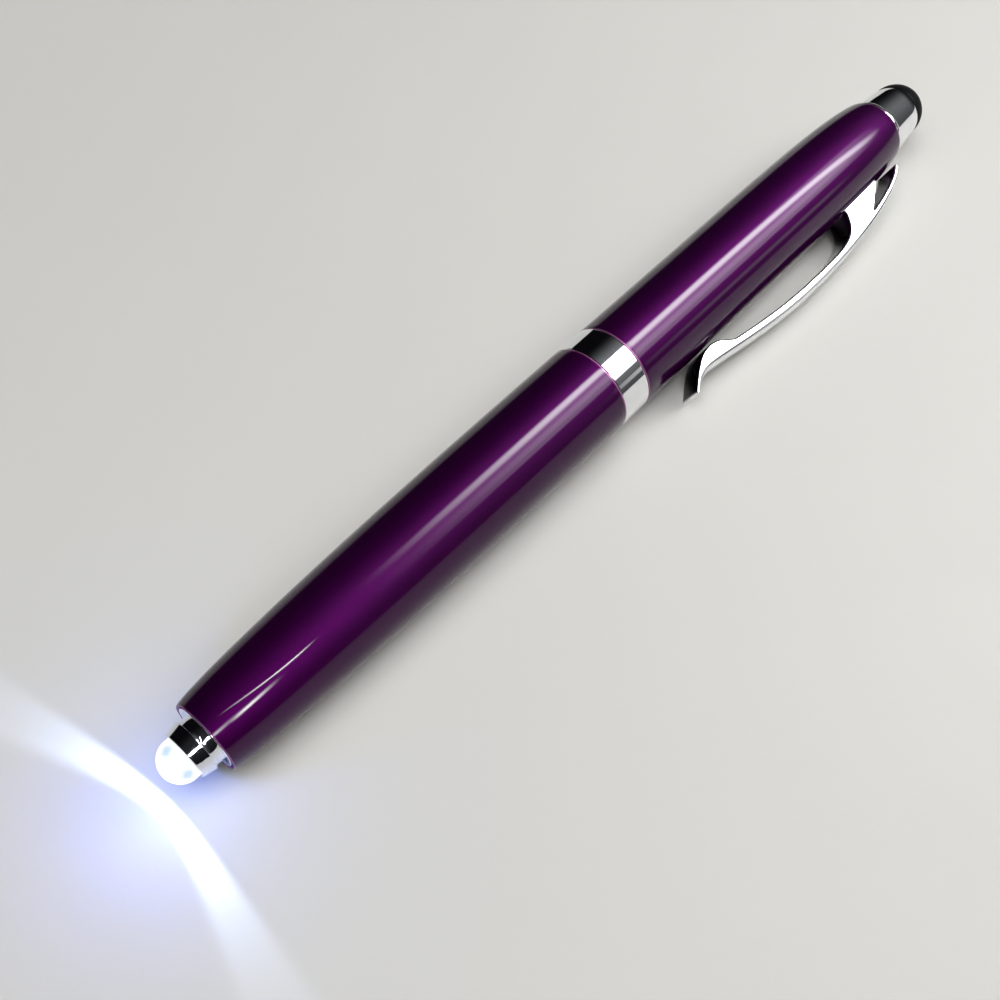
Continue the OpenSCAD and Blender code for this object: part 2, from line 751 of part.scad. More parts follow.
// Half ball with any straight stretch before it, from a place on
module dome(u0, radius) {
    if (u0 < dome_mid_u) ring(u0, dome_mid_u, radius);
    intersection() {
        translate([0, 0, dome_mid_u]) sphere(radius);
        ring(max(u0, dome_mid_u), dome_mid_u + stylus_d, stylus_d);
    }
}

// Hollow rubber dome with a stem that the ferrule grips
module stylus_tip() {
    color(rubber) lay() difference() {
        union() {
            ring(stem_u0, dome_u0 + stylus_wall, stem_r);
            dome(dome_u0, stylus_r);
        }
        ring(stem_u0 - stylus_wall, dome_u0 + stylus_wall, stem_bore_r);
        dome(dome_u0 + stylus_wall, dome_bore_r);
    }
}

barrel_shell();
centre_band();
section_insert();
grip_section();
nose_cone();
refill_tube();
refill_ink();
refill_nib();
writing_ball();
lamp_collar();
lamp_ring();
led_washer();
led_body();
led_leads();
contact_board();
contact_pin();
battery_sleeve();
battery_1();
battery_2();
battery_3();
battery_spring();
earth_plug();
cap_shell();
cap_liner();
clip_arm();
clip_foot();
clip_retainer();
stylus_ferrule();
stylus_core();
stylus_tip();
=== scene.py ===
"""Looks of a lamp pen with a stylus cap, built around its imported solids."""

import json
import logging
import math
from dataclasses import dataclass, field
from enum import Enum
from functools import reduce

import bmesh
import bpy
from bpy.types import Camera, Light, Material, Mesh, Node, NodeSocket, NodeTree, Object
from mathutils import Matrix, Vector
from mathutils.geometry import tessellate_polygon


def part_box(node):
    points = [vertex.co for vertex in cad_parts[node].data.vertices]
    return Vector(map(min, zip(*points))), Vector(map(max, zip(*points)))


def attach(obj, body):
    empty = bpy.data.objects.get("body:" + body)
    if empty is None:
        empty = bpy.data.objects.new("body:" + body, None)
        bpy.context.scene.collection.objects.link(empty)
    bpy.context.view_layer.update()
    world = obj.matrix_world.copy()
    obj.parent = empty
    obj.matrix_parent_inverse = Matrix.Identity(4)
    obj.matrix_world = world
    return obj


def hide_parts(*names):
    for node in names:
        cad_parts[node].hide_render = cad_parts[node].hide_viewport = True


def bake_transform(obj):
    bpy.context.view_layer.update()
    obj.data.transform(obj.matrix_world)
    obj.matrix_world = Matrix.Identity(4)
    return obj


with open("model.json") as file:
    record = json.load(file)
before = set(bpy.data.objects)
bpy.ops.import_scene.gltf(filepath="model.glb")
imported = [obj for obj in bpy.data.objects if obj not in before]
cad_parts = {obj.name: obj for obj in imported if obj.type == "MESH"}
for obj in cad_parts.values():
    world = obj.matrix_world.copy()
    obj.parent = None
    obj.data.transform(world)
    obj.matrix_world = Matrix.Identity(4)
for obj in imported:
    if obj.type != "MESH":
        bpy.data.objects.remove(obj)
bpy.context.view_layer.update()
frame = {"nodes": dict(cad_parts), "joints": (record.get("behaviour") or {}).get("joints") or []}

LOG = logging.getLogger("pen")
Point = tuple[float, float]
Corner = tuple[float, float, float]
Colour = tuple[float, float, float]

MM = 0.001
TURN = 2 * math.pi
# Stretches round a turned piece.
AROUND = 128
# Gap at a seam, room of a pressed fit, and step from a skin to the spigot inside it, in millimetres.
SEAM = 0.05
FIT = 0.03
STEP = 0.68
# Roundings of edges that hardly show, in millimetres.
SHARP = 0.0
FINE_EDGE = 0.05
MILD_EDGE = 0.08
SOFT_EDGE = 0.1
# Limits between which most of a noise lies.
NOISE_CORE = (0.3, 0.7)
# Fresh and worn tone of chrome plating.
PLATING = ((0.86, 0.87, 0.89), (0.80, 0.81, 0.84))
# Face attribute that marks the clip's inner side, where shade is painted darker into the chrome.
INNER_SIDE = "inner_side"


class Body(Enum):
    """Rigid bodies of the pen that new pieces ride on."""

    BARREL = "barrel"
    CAP = "cap"
    CLIP = "clip"
    LAMP_MODULE = "lamp_module"
    LAMP_HEAD = "lamp_head"


class Slot(Enum):
    """Material slots of the record."""

    LACQUER = "lacquer"
    CHROME = "chrome"
    STEEL = "steel"
    DARK_PLASTIC = "dark_plastic"
    LED_RESIN = "led_resin"
    RUBBER = "rubber"


class Grain(Enum):
    """Octaves of finer noise on a noise."""

    SMOOTH = 1.0
    EVEN = 2.0
    FINE = 3.0


class Sketch:
    """Short way to add nodes to a tree and join them."""

    def __init__(self, tree: NodeTree) -> None:
        """Keeps the tree that nodes go into."""
        self.tree = tree

    def add(self, kind: str, values: dict | None = None, **settings: object) -> Node:
        """Adds one node.

        Args:
            kind: Blender's name of the node type.
            values: Input values or sockets to join, by input name or index.
            settings: Properties of the node.

        Returns:
            The new node.
        """
        node = self.tree.nodes.new(kind)
        for name, value in settings.items():
            setattr(node, name, value)
        for name, value in (values or {}).items():
            self.put(node.inputs[name], value)
        return node

    def put(self, socket: NodeSocket, value: object) -> None:
        """Sets an input to a value, or joins it to another socket.

        Args:
            socket: Input to set.
            value: Number, vector, colour without alpha, or socket.
        """
        if isinstance(value, NodeSocket):
            self.tree.links.new(value, socket)
        else:
            socket.default_value = (*value, 1) if socket.type == "RGBA" else value

    def math(self, operation: str, *terms: object) -> NodeSocket:
        """Adds a math node and gives its result."""
        return self.add("ShaderNodeMath", dict(enumerate(terms)), operation=operation).outputs[0]

    def fold(self, operation: str, terms: list[NodeSocket]) -> NodeSocket:
        """Joins several values by one operation, two at a time."""
        return reduce(lambda first, second: self.math(operation, first, second), terms)

    def axes(self, place: NodeSocket) -> list[NodeSocket]:
        """Gives the three coordinates of a place."""
        return list(self.add("ShaderNodeSeparateXYZ", {0: place}).outputs)

    def blend(self, share: object, first: object, second: object) -> NodeSocket:
        """Mixes two colours by a share from 0 to 1."""
        values = {0: share, 6: first, 7: second}
        return self.add("ShaderNodeMix", values, data_type="RGBA").outputs[2]

    def span(self, value: NodeSocket, low: float, high: float, start: float, end: float) -> NodeSocket:
        """Maps a value between two limits smoothly onto another span.

        Args:
            value: Socket to map.
            low: Lower limit of the value.
            high: Upper limit of the value.
            start: Result at the lower limit.
            end: Result at the upper limit.

        Returns:
            The mapped value.
        """
        values = dict(enumerate((value, low, high, start, end)))
        return self.add("ShaderNodeMapRange", values, interpolation_type="SMOOTHSTEP").outputs[0]


class Surface(Sketch):
    """A material under construction, with its shader and its object coordinates."""

    def __init__(self, name: str) -> None:
        """Starts a material with one principled shader.

        Args:
            name: Name of the material.
        """
        self.material = bpy.data.materials.new(name)
        self.material.use_nodes = True
        super().__init__(self.material.node_tree)
        self.shader = self.tree.nodes["Principled BSDF"]
        self.place = self.add("ShaderNodeTexCoord").outputs["Object"]

    def set(self, **values: object) -> None:
        """Sets shader inputs, with underscores for the spaces in their names."""
        for name, value in values.items():
            self.put(self.shader.inputs[name.replace("_", " ")], value)

    def noise(self, size: float, grain: Grain = Grain.EVEN, stretch: Corner = (1, 1, 1)) -> NodeSocket:
        """Adds noise on object coordinates.

        Args:
            size: Grain size in millimetres.
            grain: Finer noise on it.
            stretch: Factors of the three axes.

        Returns:
            The noise value, from 0 to 1.
        """
        mapped = self.add("ShaderNodeMapping", {"Vector": self.place, "Scale": stretch})
        values = {"Vector": mapped.outputs[0], "Scale": 1 / (size * MM), "Detail": grain.value}
        return self.add("ShaderNodeTexNoise", values).outputs["Fac"]

    def bump(self, height: NodeSocket, strength: float, depth: float) -> None:
        """Adds a bump from a height, over any bump that is there.

        Args:
            height: Height value, from 0 to 1.
            strength: Share of the bump that shows.
            depth: Depth in millimetres.
        """
        values: dict[str, object] = {"Height": height, "Strength": strength, "Distance": depth * MM}
        under = self.shader.inputs["Normal"]
        if under.is_linked:
            values["Normal"] = under.links[0].from_socket
        self.set(Normal=self.add("ShaderNodeBump", values).outputs[0])


@dataclass(frozen=True)
class Lacquer:
    """Transparent plum lacquer over bright metal, with a painted highlight on the rims, under a clear gloss
    coat.
    """

    name: str = "plum_lacquer"
    shells: tuple[str, ...] = ("barrel_shell", "cap_shell")
    deep: Colour = (0.030, 0.0003, 0.033)
    bright: Colour = (0.060, 0.0006, 0.069)
    # Paler tone painted on the rims as their highlight.
    painted_rim_highlight: Colour = (0.36, 0.13, 0.30)
    rim: float = 0.20
    rim_core: float = 0.4
    drift: float = 22.0
    flake: float = 0.14
    flake_share: float = 0.25
    metal: float = 0.88
    rough: float = 0.5
    rough_spread: float = 0.05
    graze: Colour = (0.35, 0.12, 0.35)
    coat: float = 1.0
    coat_rough: float = 0.035
    coat_ior: float = 1.37
    ripple: float = 6.0
    ripple_share: float = 0.12
    ripple_depth: float = 0.02

    def make(self) -> Material:
        """Builds the material, with a paler painted highlight near both rims of each shell.

        Returns:
            The material.
        """
        skin = Surface(self.name)
        cells = skin.add("ShaderNodeTexVoronoi", {"Vector": skin.place, "Scale": 1 / (self.flake * MM)})
        glint = skin.add("ShaderNodeSeparateColor", {"Color": cells.outputs["Color"]}).outputs[0]
        drift = skin.math("MULTIPLY", skin.noise(self.drift), 1 - self.flake_share)
        share = skin.math("ADD", drift, skin.math("MULTIPLY", glint, self.flake_share))
        depth = skin.blend(share, self.deep, self.bright)
        along = skin.axes(skin.place)[0]
        rims = [corner.x for node in self.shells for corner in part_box(node)]
        gaps = [skin.math("ABSOLUTE", skin.math("SUBTRACT", along, rim)) for rim in rims]
        near = skin.fold("MINIMUM", gaps)
        # Painted highlight: the lacquer turns paler near each rim, standing for the rounded rims catching
        # the light.
        edge = skin.span(near, self.rim_core * self.rim * MM, self.rim * MM, 1, 0)
        low, high = self.rough - self.rough_spread, self.rough + self.rough_spread
        skin.set(Base_Color=skin.blend(edge, depth, self.painted_rim_highlight), Metallic=self.metal)
        skin.set(Roughness=skin.span(glint, 0, 1, low, high), Specular_Tint=self.graze)
        skin.set(Coat_Weight=self.coat, Coat_Roughness=self.coat_rough, Coat_IOR=self.coat_ior)
        skin.bump(skin.noise(self.ripple, Grain.SMOOTH), self.ripple_share, self.ripple_depth)
        return skin.material


@dataclass(frozen=True)
class Metal:
    """Bare or plated metal with fine polishing marks around the pen."""

    name: str
    tint: Colour
    worn: Colour
    rough: float
    rough_spread: float
    mark: float = 0.05
    bump: float = 0.04
    wave: float = 2.0
    wave_depth: float = 0.0
    # Darker tone painted on the marked inner side, standing for the shade there.
    painted_shade: Colour | None = None
    cloud: float = 3.5
    cloud_core: Point = (0.35, 0.75)
    mark_stretch: Corner = (1.0, 0.06, 0.06)
    mark_depth: float = 0.004

    def make(self) -> Material:
        """Builds the material, with painted shade, a darker tone, on the faces that mark the piece's inner
        side.

        Returns:
            The material.
        """
        skin = Surface(self.name)
        marks = skin.noise(self.mark, Grain.FINE, self.mark_stretch)
        worn = skin.span(skin.noise(self.cloud), *self.cloud_core, 0, 1)
        tone = skin.blend(worn, self.tint, self.worn)
        # Painted shade: the marked inner faces take a darker tone that stands for the shade falling there.
        if self.painted_shade is not None:
            side = skin.add("ShaderNodeAttribute", attribute_name=INNER_SIDE)
            tone = skin.blend(side.outputs["Fac"], tone, self.painted_shade)
        rough = skin.math("ADD", skin.span(marks, *NOISE_CORE, 0, self.rough_spread), self.rough)
        skin.set(Base_Color=tone, Metallic=1.0, Roughness=rough)
        skin.bump(marks, self.bump, self.mark_depth)
        if self.wave_depth > 0:
            skin.bump(skin.noise(self.wave, Grain.SMOOTH), 1.0, self.wave_depth)
        return skin.material


@dataclass(frozen=True)
class Moulded:
    """Moulded plastic or rubber with a fine grain."""

    name: str
    tint: Colour
    second: Colour
    rough: float
    grain: float
    bump: float
    coat: float = 0.0
    gloss: float = 0.5
    cloud: float = 4.0
    rough_span: Point = (-0.06, 0.08)
    coat_rough: float = 0.08
    grain_depth: float = 0.03

    def make(self) -> Material:
        """Builds the material.

        Returns:
            The material.
        """
        skin = Surface(self.name)
        grain = skin.noise(self.grain, Grain.FINE)
        cloud = skin.span(skin.noise(self.cloud), *NOISE_CORE, 0, 1)
        low, high = (self.rough + change for change in self.rough_span)
        skin.set(Base_Color=skin.blend(cloud, self.tint, self.second))
        skin.set(Roughness=skin.span(grain, *NOISE_CORE, low, high), Specular_IOR_Level=self.gloss)
        skin.set(Coat_Weight=self.coat, Coat_Roughness=self.coat_rough)
        skin.bump(grain, self.bump, self.grain_depth)
        return skin.material


@dataclass(frozen=True)
class LitResin:
    """Clear diode resin, lit from inside, with cooler patches painted into its glow as the shade of the two
    lead posts.
    """

    name: str = "lit_resin"
    body: Colour = (0.02, 0.025, 0.03)
    glow: Colour = (0.96, 0.99, 1.0)
    # Cooler tint painted into the glow as the posts' shade.
    cool: Colour = (0.22, 0.52, 1.0)
    post_shade_share: float = 0.5
    strength: float = 1.0
    rough: float = 0.06
    ior: float = 1.5
    post: float = 0.62
    post_core: float = 0.55
    post_rim: float = 1.5
    grain: float = 0.35
    grain_share: float = 0.5

    def make(self, posts: list[Vector]) -> Material:
        """Builds the material.

        Args:
            posts: Places of the two lead posts in the row frame.

        Returns:
            The material.
        """
        skin = Surface(self.name)
        post = self.post * MM
        gaps = []
        for spot in posts:
            ends = {0: skin.place, 1: tuple(spot)}
            gaps.append(skin.add("ShaderNodeVectorMath", ends, operation="DISTANCE").outputs["Value"])
        grain = skin.math("MULTIPLY", skin.noise(self.grain, Grain.SMOOTH), self.grain_share * post)
        near = skin.math("ADD", skin.fold("MINIMUM", gaps), grain)
        # Painted shade of the lead posts: the glow turns cooler near each post.
        mark = skin.span(near, self.post_core * post, self.post_rim * post, 1, 0)
        light = skin.blend(skin.math("MULTIPLY", mark, self.post_shade_share), self.glow, self.cool)
        skin.set(Base_Color=self.body, Emission_Color=light, Emission_Strength=self.strength)
        skin.set(Roughness=self.rough, IOR=self.ior)
        return skin.material


def made(finish: Lacquer | Metal | Moulded) -> Material:
    """Declares a field that is filled with a finish's material."""
    return field(default_factory=finish.make)


@dataclass(frozen=True)
class Finishes:
    """Every finish of the pen's metal and plastic pieces, made once."""

    lacquer: Material = made(Lacquer())
    chrome: Material = made(Metal("mirror_chrome", *PLATING, 0.035, 0.035))
    # The cast chrome carries painted shade on the clip's inner side.
    cast_chrome: Material = made(Metal(
        "cast_chrome", *PLATING, 0.03, 0.03, wave=3.2, wave_depth=0.022, painted_shade=(0.10, 0.10, 0.105)))
    ring_chrome: Material = made(Metal(
        "ring_chrome", (0.84, 0.86, 0.90), (0.76, 0.78, 0.83), 0.05, 0.05, wave=0.75, wave_depth=0.012))
    brass: Material = made(Metal(
        "turned_brass", (0.74, 0.53, 0.21), (0.60, 0.41, 0.16), 0.22, 0.16, 0.08, 0.2))
    steel: Material = made(Metal(
        "nickel_steel", (0.66, 0.66, 0.65), (0.55, 0.55, 0.55), 0.18, 0.14, 0.08, 0.15))
    dark_plastic: Material = made(Moulded(
        "black_plastic", (0.012, 0.012, 0.014), (0.02, 0.02, 0.022), 0.3, 0.2, 0.12, 0.3))
    white_plastic: Material = made(Moulded(
        "white_plastic", (0.72, 0.71, 0.67), (0.62, 0.61, 0.57), 0.45, 0.25, 0.15))
    board: Material = made(Moulded(
        "green_laminate", (0.03, 0.16, 0.08), (0.02, 0.11, 0.055), 0.5, 0.3, 0.3))
    ink: Material = made(Moulded(
        "blue_ink", (0.006, 0.012, 0.12), (0.004, 0.008, 0.08), 0.2, 0.6, 0.05, 0.5))
    rubber: Material = made(Moulded(
        "stylus_rubber", (0.002, 0.0024, 0.0026), (0.004, 0.0045, 0.0047), 0.5, 0.12, 0.25, 0.0, 0.06))


@dataclass(frozen=True)
class PenFrame:
    """Place of the pen's own axes in the row frame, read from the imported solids.

    u runs along the pen in millimetres, zero at the seam between barrel and band, towards the stylus.
    """

    origin: Vector
    roll: float

    @classmethod
    def read(cls) -> "PenFrame":
        """Reads the axis from the barrel's box and the clip's turn from the clip's hinge.

        Returns:
            The pen's place.
        """
        low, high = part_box("barrel_shell")
        hinge = next(joint for joint in frame["joints"] if joint["name"] == "clip_flex")
        axis = Vector(hinge["axis"])
        origin = Vector((high.x, (low.y + high.y) / 2, (low.z + high.z) / 2))
        return cls(origin, math.atan2(-axis.y, axis.z))

    def at(self, u: float, out: float = 0.0, side: float = 0.0) -> Vector:
        """Gives a place in the row frame.

        Args:
            u: Distance along the pen.
            out: Distance from the axis towards the clip.
            side: Distance from the clip's middle plane, upwards.

        Returns:
            The place, in metres.
        """
        cos, sin = math.cos(self.roll), math.sin(self.roll)
        return self.origin + Vector((u, -out * cos - side * sin, -out * sin + side * cos)) * MM

    def around(self, u: float, radius: float, angle: float) -> Vector:
        """Gives a place on a circle round the axis, with the angle counted from the side of +Y."""
        return self.origin + Vector((u, radius * math.cos(angle), radius * math.sin(angle))) * MM

    def span(self, node: str) -> Point:
        """Gives the two ends of a solid along the pen, in millimetres."""
        low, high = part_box(node)
        return (low.x - self.origin.x) / MM, (high.x - self.origin.x) / MM


def radius_of(node: str) -> float:
    """Gives the largest radius of a turned solid, in millimetres."""
    low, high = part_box(node)
    return (high.z - low.z) / 2 / MM


def rounded(outline: list[Corner], steps: int = 5) -> list[Point]:
    """Rounds the corners of an open outline.

    Args:
        outline: Corners as radius, place along the pen, and size of the rounding.
        steps: Points on each rounded corner, less one.

    Returns:
        The outline's points as radius and place.
    """
    most = 0.49  # of a straight stretch, so that two roundings on it don't meet
    points: list[Point] = []
    for i, (radius, u, size) in enumerate(outline):
        corner = Vector((radius, u))
        if size == SHARP or i in (0, len(outline) - 1):
            points.append((radius, u))
            continue
        back = Vector(outline[i - 1][:2]) - corner
        ahead = Vector(outline[i + 1][:2]) - corner
        cut = min(size, most * back.length, most * ahead.length)
        start, end = corner + back.normalized() * cut, corner + ahead.normalized() * cut
        for k in range(steps + 1):
            t = k / steps
            points.append(tuple(start * (1 - t) ** 2 + corner * 2 * t * (1 - t) + end * t ** 2))
    return points


def arc(u_mid: float, radius: float, start: float, end: float, steps: int) -> list[Corner]:
    """Gives outline corners on a circle about a point of the axis.

    Args:
        u_mid: Place of the circle's middle along the pen.
        radius: Radius of the circle.
        start: First angle from the axis direction, in degrees.
        end: Last angle, in degrees.
        steps: Number of stretches.

    Returns:
        Corners with no rounding.
    """
    angles = [math.radians(start + (end - start) * k / steps) for k in range(steps + 1)]
    return [(abs(radius * math.sin(a)), u_mid + radius * math.cos(a), SHARP) for a in angles]


def new_object(name: str, data: Mesh | Light | Camera) -> Object:
    """Puts a mesh, light or camera into the scene as an object at the origin.

    Args:
        name: Name of the object.
        data: What the object shows.

    Returns:
        The object.
    """
    thing = bpy.data.objects.new(name, data)
    bpy.context.scene.collection.objects.link(thing)
    return thing


def settle(piece: Object, material: Material, place: Matrix | None = None) -> Object:
    """Turns a piece with modifiers into a plain mesh with even shading.

    Args:
        piece: Object whose modifiers are taken into its mesh.
        material: Finish of the piece.
        place: Move that takes the mesh to its place, if it isn't there yet.

    Returns:
        The same object.
    """
    even = piece.modifiers.new("even_shading", "WEIGHTED_NORMAL")
    even.keep_sharp = False
    graph = bpy.context.evaluated_depsgraph_get()
    made_mesh = bpy.data.meshes.new_from_object(
        piece.evaluated_get(graph), preserve_all_data_layers=True, depsgraph=graph)
    piece.modifiers.clear()
    old = piece.data
    piece.data = made_mesh
    bpy.data.meshes.remove(old)
    made_mesh.name = piece.name
    if place is not None:
        made_mesh.transform(place)
    made_mesh.materials.clear()
    made_mesh.materials.append(material)
    return piece


def from_drawn(name: str, work: bmesh.types.BMesh, material: Material) -> Object:
    """Makes a piece from a drawn mesh, with its faces outwards and smooth.

    Args:
        name: Name of the piece.
        work: Drawn mesh, already in its place.
        material: Finish of the piece.

    Returns:
        The new piece.
    """
    bmesh.ops.recalc_face_normals(work, faces=work.faces)
    for face in work.faces:
        face.smooth = True
    mesh = bpy.data.meshes.new(name)
    work.to_mesh(mesh)
    work.free()
    return settle(new_object(name, mesh), material)


def round_edges(piece: Object, name: str, width: float, angle: float) -> None:
    """Adds a modifier that rounds a piece's sharp edges.

    Args:
        piece: Piece that isn't settled yet.
        name: Name of the modifier.
        width: Width of the rounding, in millimetres.
        angle: Least angle of a sharp edge, in degrees.
    """
    bevel = piece.modifiers.new(name, "BEVEL")
    bevel.width = width * MM
    bevel.segments = 3
    bevel.limit_method = "ANGLE"
    bevel.angle_limit = math.radians(angle)


def present(piece: Object, slot: Slot, body: Body | None, *nodes: str) -> None:
    """Attaches a piece to its body, hides the solids it stands for and logs it.

    Args:
        piece: Finished piece.
        slot: Slot of the record; not used.
        body: Body that the piece rides on, or None for a piece that rides on none.
        nodes: Solids that the piece replaces.
    """
    if body is not None:
        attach(piece, body.value)
    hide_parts(*nodes)
    LOG.info("%s: %d faces, for %s", piece.name, len(piece.data.polygons), ", ".join(nodes))


def dress(material: Material, *nodes: str) -> None:
    """Gives a finish to solids that stay as they are.

    Args:
        material: The finish.
        nodes: Names of the solids.
    """
    for node in nodes:
        mesh = frame["nodes"][node].data
        mesh.materials.clear()
        mesh.materials.append(material)
        LOG.info("%s: solid with %s", node, material.name)


def turn(pen: PenFrame, name: str, outline: list[Point], material: Material, closed: bool) -> Object:
    """Turns an outline about the pen's axis.

    Args:
        pen: Place of the pen.
        name: Name of the piece.
        outline: Points as radius and place along the pen.
        material: Finish of the piece.
        closed: Whether the last point joins the first, as on a ring.

    Returns:
        The new piece.
    """
    on_axis = 1e-6
    work = bmesh.new()
    rows: list[list[bmesh.types.BMVert]] = []
    for radius, u in outline:
        if radius < on_axis:
            rows.append([work.verts.new(pen.at(u))] * AROUND)
        else:
            angles = (TURN * k / AROUND for k in range(AROUND))
            rows.append([work.verts.new(pen.around(u, radius, angle)) for angle in angles])
    pairs = list(zip(rows, rows[1:])) + ([(rows[-1], rows[0])] if closed else [])
    for first, second in pairs:
        for k in range(AROUND):
            ahead = (k + 1) % AROUND
            corners = list(dict.fromkeys((first[k], first[ahead], second[ahead], second[k])))
            if len(corners) > 2:
                work.faces.new(corners)
    return from_drawn(name, work, material)


class RuleShape(Sketch):
    """Geometry node tree of a piece whose shape follows a rule, with named inputs for its sizes."""

    def __init__(self, name: str, sizes: tuple[str, ...], counts: tuple[str, ...] = ()) -> None:
        """Starts the tree with its inputs.

        Args:
            name: Name of the tree.
            sizes: Names of the lengths and powers.
            counts: Names of the whole numbers.
        """
        super().__init__(bpy.data.node_groups.new(name, "GeometryNodeTree"))
        kinds = dict.fromkeys(sizes, "NodeSocketFloat") | dict.fromkeys(counts, "NodeSocketInt")
        kinds["Finish"] = "NodeSocketMaterial"
        self.keys: dict[str, str] = {}
        for label, kind in kinds.items():
            socket = self.tree.interface.new_socket(label, in_out="INPUT", socket_type=kind)
            self.keys[label] = socket.identifier
        self.tree.interface.new_socket("Geometry", in_out="OUTPUT", socket_type="NodeSocketGeometry")
        entry = self.add("NodeGroupInput")
        self.inputs = {label: entry.outputs[label] for label in kinds}

    def end(self, geometry: NodeSocket) -> None:
        """Ends the tree with smooth shading, real geometry and the finish.

        Args:
            geometry: The drawn shape.
        """
        smooth = self.add("GeometryNodeSetShadeSmooth", {"Geometry": geometry})
        real = self.add("GeometryNodeRealizeInstances", {"Geometry": smooth.outputs[0]})
        values = {"Geometry": real.outputs[0], "Material": self.inputs["Finish"]}
        painted = self.add("GeometryNodeSetMaterial", values)
        self.add("NodeGroupOutput", {"Geometry": painted.outputs[0]})

    def host(self, name: str, values: dict[str, object]) -> Object:
        """Makes an object that carries the tree with its input values.

        Args:
            name: Name of the object.
            values: Values of the inputs, by name.

        Returns:
            The object, not yet evaluated.
        """
        piece = new_object(name, bpy.data.meshes.new(name))
        modifier = piece.modifiers.new("shape", "NODES")
        modifier.node_group = self.tree
        for label, value in values.items():
            modifier[self.keys[label]] = value
        return piece


class SwellShell(RuleShape):
    """Tube that swells from a slim end to a straight stretch."""

    SIZES = ("Length", "Straight", "End radius", "Full radius", "Taper", "Bend", "Fullness")
    POWERS = ("Bend", "Fullness")
    ROWS = 110
    # Power that gathers the rows of points at the slim end.
    GATHER = 1.7
    # Points nearer than this are one, in metres.
    MERGE = 1e-7
    RIM_ANGLE = 40.0

    def __init__(self) -> None:
        """Builds the tree."""
        super().__init__("swell_shell", self.SIZES, ("Around", "Along"))
        size = self.inputs
        counts = {"Vertices X": size["Around"], "Vertices Y": size["Along"]}
        grid = self.add("GeometryNodeMeshGrid", {"Size X": 1.0, "Size Y": 1.0, **counts})
        place = self.axes(self.add("GeometryNodeInputPosition").outputs[0])
        angle = self.math("MULTIPLY", self.math("ADD", place[0], 0.5), TURN)
        share = self.math("ADD", place[1], 0.5)
        along = self.math("MULTIPLY", size["Length"], self.math("POWER", share, self.GATHER))
        swell_len = self.math("SUBTRACT", size["Length"], size["Straight"])
        part = self.math("MINIMUM", self.math("DIVIDE", along, swell_len), 1.0)
        rest = self.math("POWER", self.math("SUBTRACT", 1.0, part), size["Bend"])
        swell = self.math("POWER", self.math("SUBTRACT", 1.0, rest), size["Fullness"])
        left = self.math("DIVIDE", self.math("SUBTRACT", size["Length"], along), size["Straight"])
        drop = self.math("MULTIPLY", size["Taper"], self.math("MINIMUM", left, 1.0))
        full = self.math("SUBTRACT", size["Full radius"], drop)
        gain = self.math("MULTIPLY", self.math("SUBTRACT", full, size["End radius"]), swell)
        radius = self.math("ADD", size["End radius"], gain)
        wide = self.math("MULTIPLY", radius, self.math("COSINE", angle))
        high = self.math("MULTIPLY", radius, self.math("SINE", angle))
        spot = self.add("ShaderNodeCombineXYZ", {0: along, 1: wide, 2: high}).outputs[0]
        moved = self.add("GeometryNodeSetPosition", {"Geometry": grid.outputs[0], "Position": spot})
        values = {"Geometry": moved.outputs[0], "Distance": self.MERGE}
        self.end(self.add("GeometryNodeMergeByDistance", values).outputs[0])

    def make(self, name: str, sizes: dict[str, float], wall: float, edge: float,
             material: Material, place: Matrix) -> Object:
        """Makes one shell.

        Args:
            name: Name of the piece.
            sizes: Sizes of the rule, in millimetres and powers, by input name.
            wall: Wall of the tube, in millimetres.
            edge: Rounding of the tube's rims, in millimetres.
            material: Finish of the shell.
            place: Move from the rule's axes to the pen.

        Returns:
            The shell.
        """
        values: dict[str, object] = {k: v if k in self.POWERS else v * MM for k, v in sizes.items()}
        values |= {"Around": AROUND + 1, "Along": self.ROWS, "Finish": material}
        piece = self.host(name, values)
        solid = piece.modifiers.new("wall", "SOLIDIFY")
        solid.thickness = wall * MM
        solid.offset = -1.0
        round_edges(piece, "rim", edge, self.RIM_ANGLE)
        return settle(piece, material, place)


class SpringCoil(RuleShape):
    """Wound spring behind the cells."""

    STEPS_A_TURN = 40
    WIRE_SIDES = 14

    def __init__(self) -> None:
        """Builds the tree."""
        super().__init__("spring_coil", ("Turns", "Radius", "Height", "Wire radius"))
        size = self.inputs
        values = {"Resolution": self.STEPS_A_TURN, "Rotations": size["Turns"], "Height": size["Height"],
                  "Start Radius": size["Radius"], "End Radius": size["Radius"]}
        coil = self.add("GeometryNodeCurveSpiral", values)
        values = {"Resolution": self.WIRE_SIDES, "Radius": size["Wire radius"]}
        wire = self.add("GeometryNodeCurvePrimitiveCircle", values)
        values = {"Curve": coil.outputs[0], "Profile Curve": wire.outputs[0], "Fill Caps": True}
        self.end(self.add("GeometryNodeCurveToMesh", values).outputs[0])

    def make(self, pen: PenFrame, material: Material, turns: float, wire: float) -> Object:
        """Makes the spring between the last cell and the earth plug.

        Args:
            pen: Place of the pen.
            material: Finish of the wire.
            turns: Number of turns.
            wire: Wire diameter, in millimetres.

        Returns:
            The spring.
        """
        first, last = pen.span("battery_spring")
        radius = radius_of("battery_spring") - wire / 2
        values = {"Turns": turns, "Radius": radius * MM, "Height": (last - first - wire) * MM,
                  "Wire radius": wire / 2 * MM, "Finish": material}
        piece = self.host("cell_spring", values)
        place = Matrix.Translation(pen.at(first + wire / 2)) @ Matrix.Rotation(math.pi / 2, 4, "Y")
        return settle(piece, material, place)


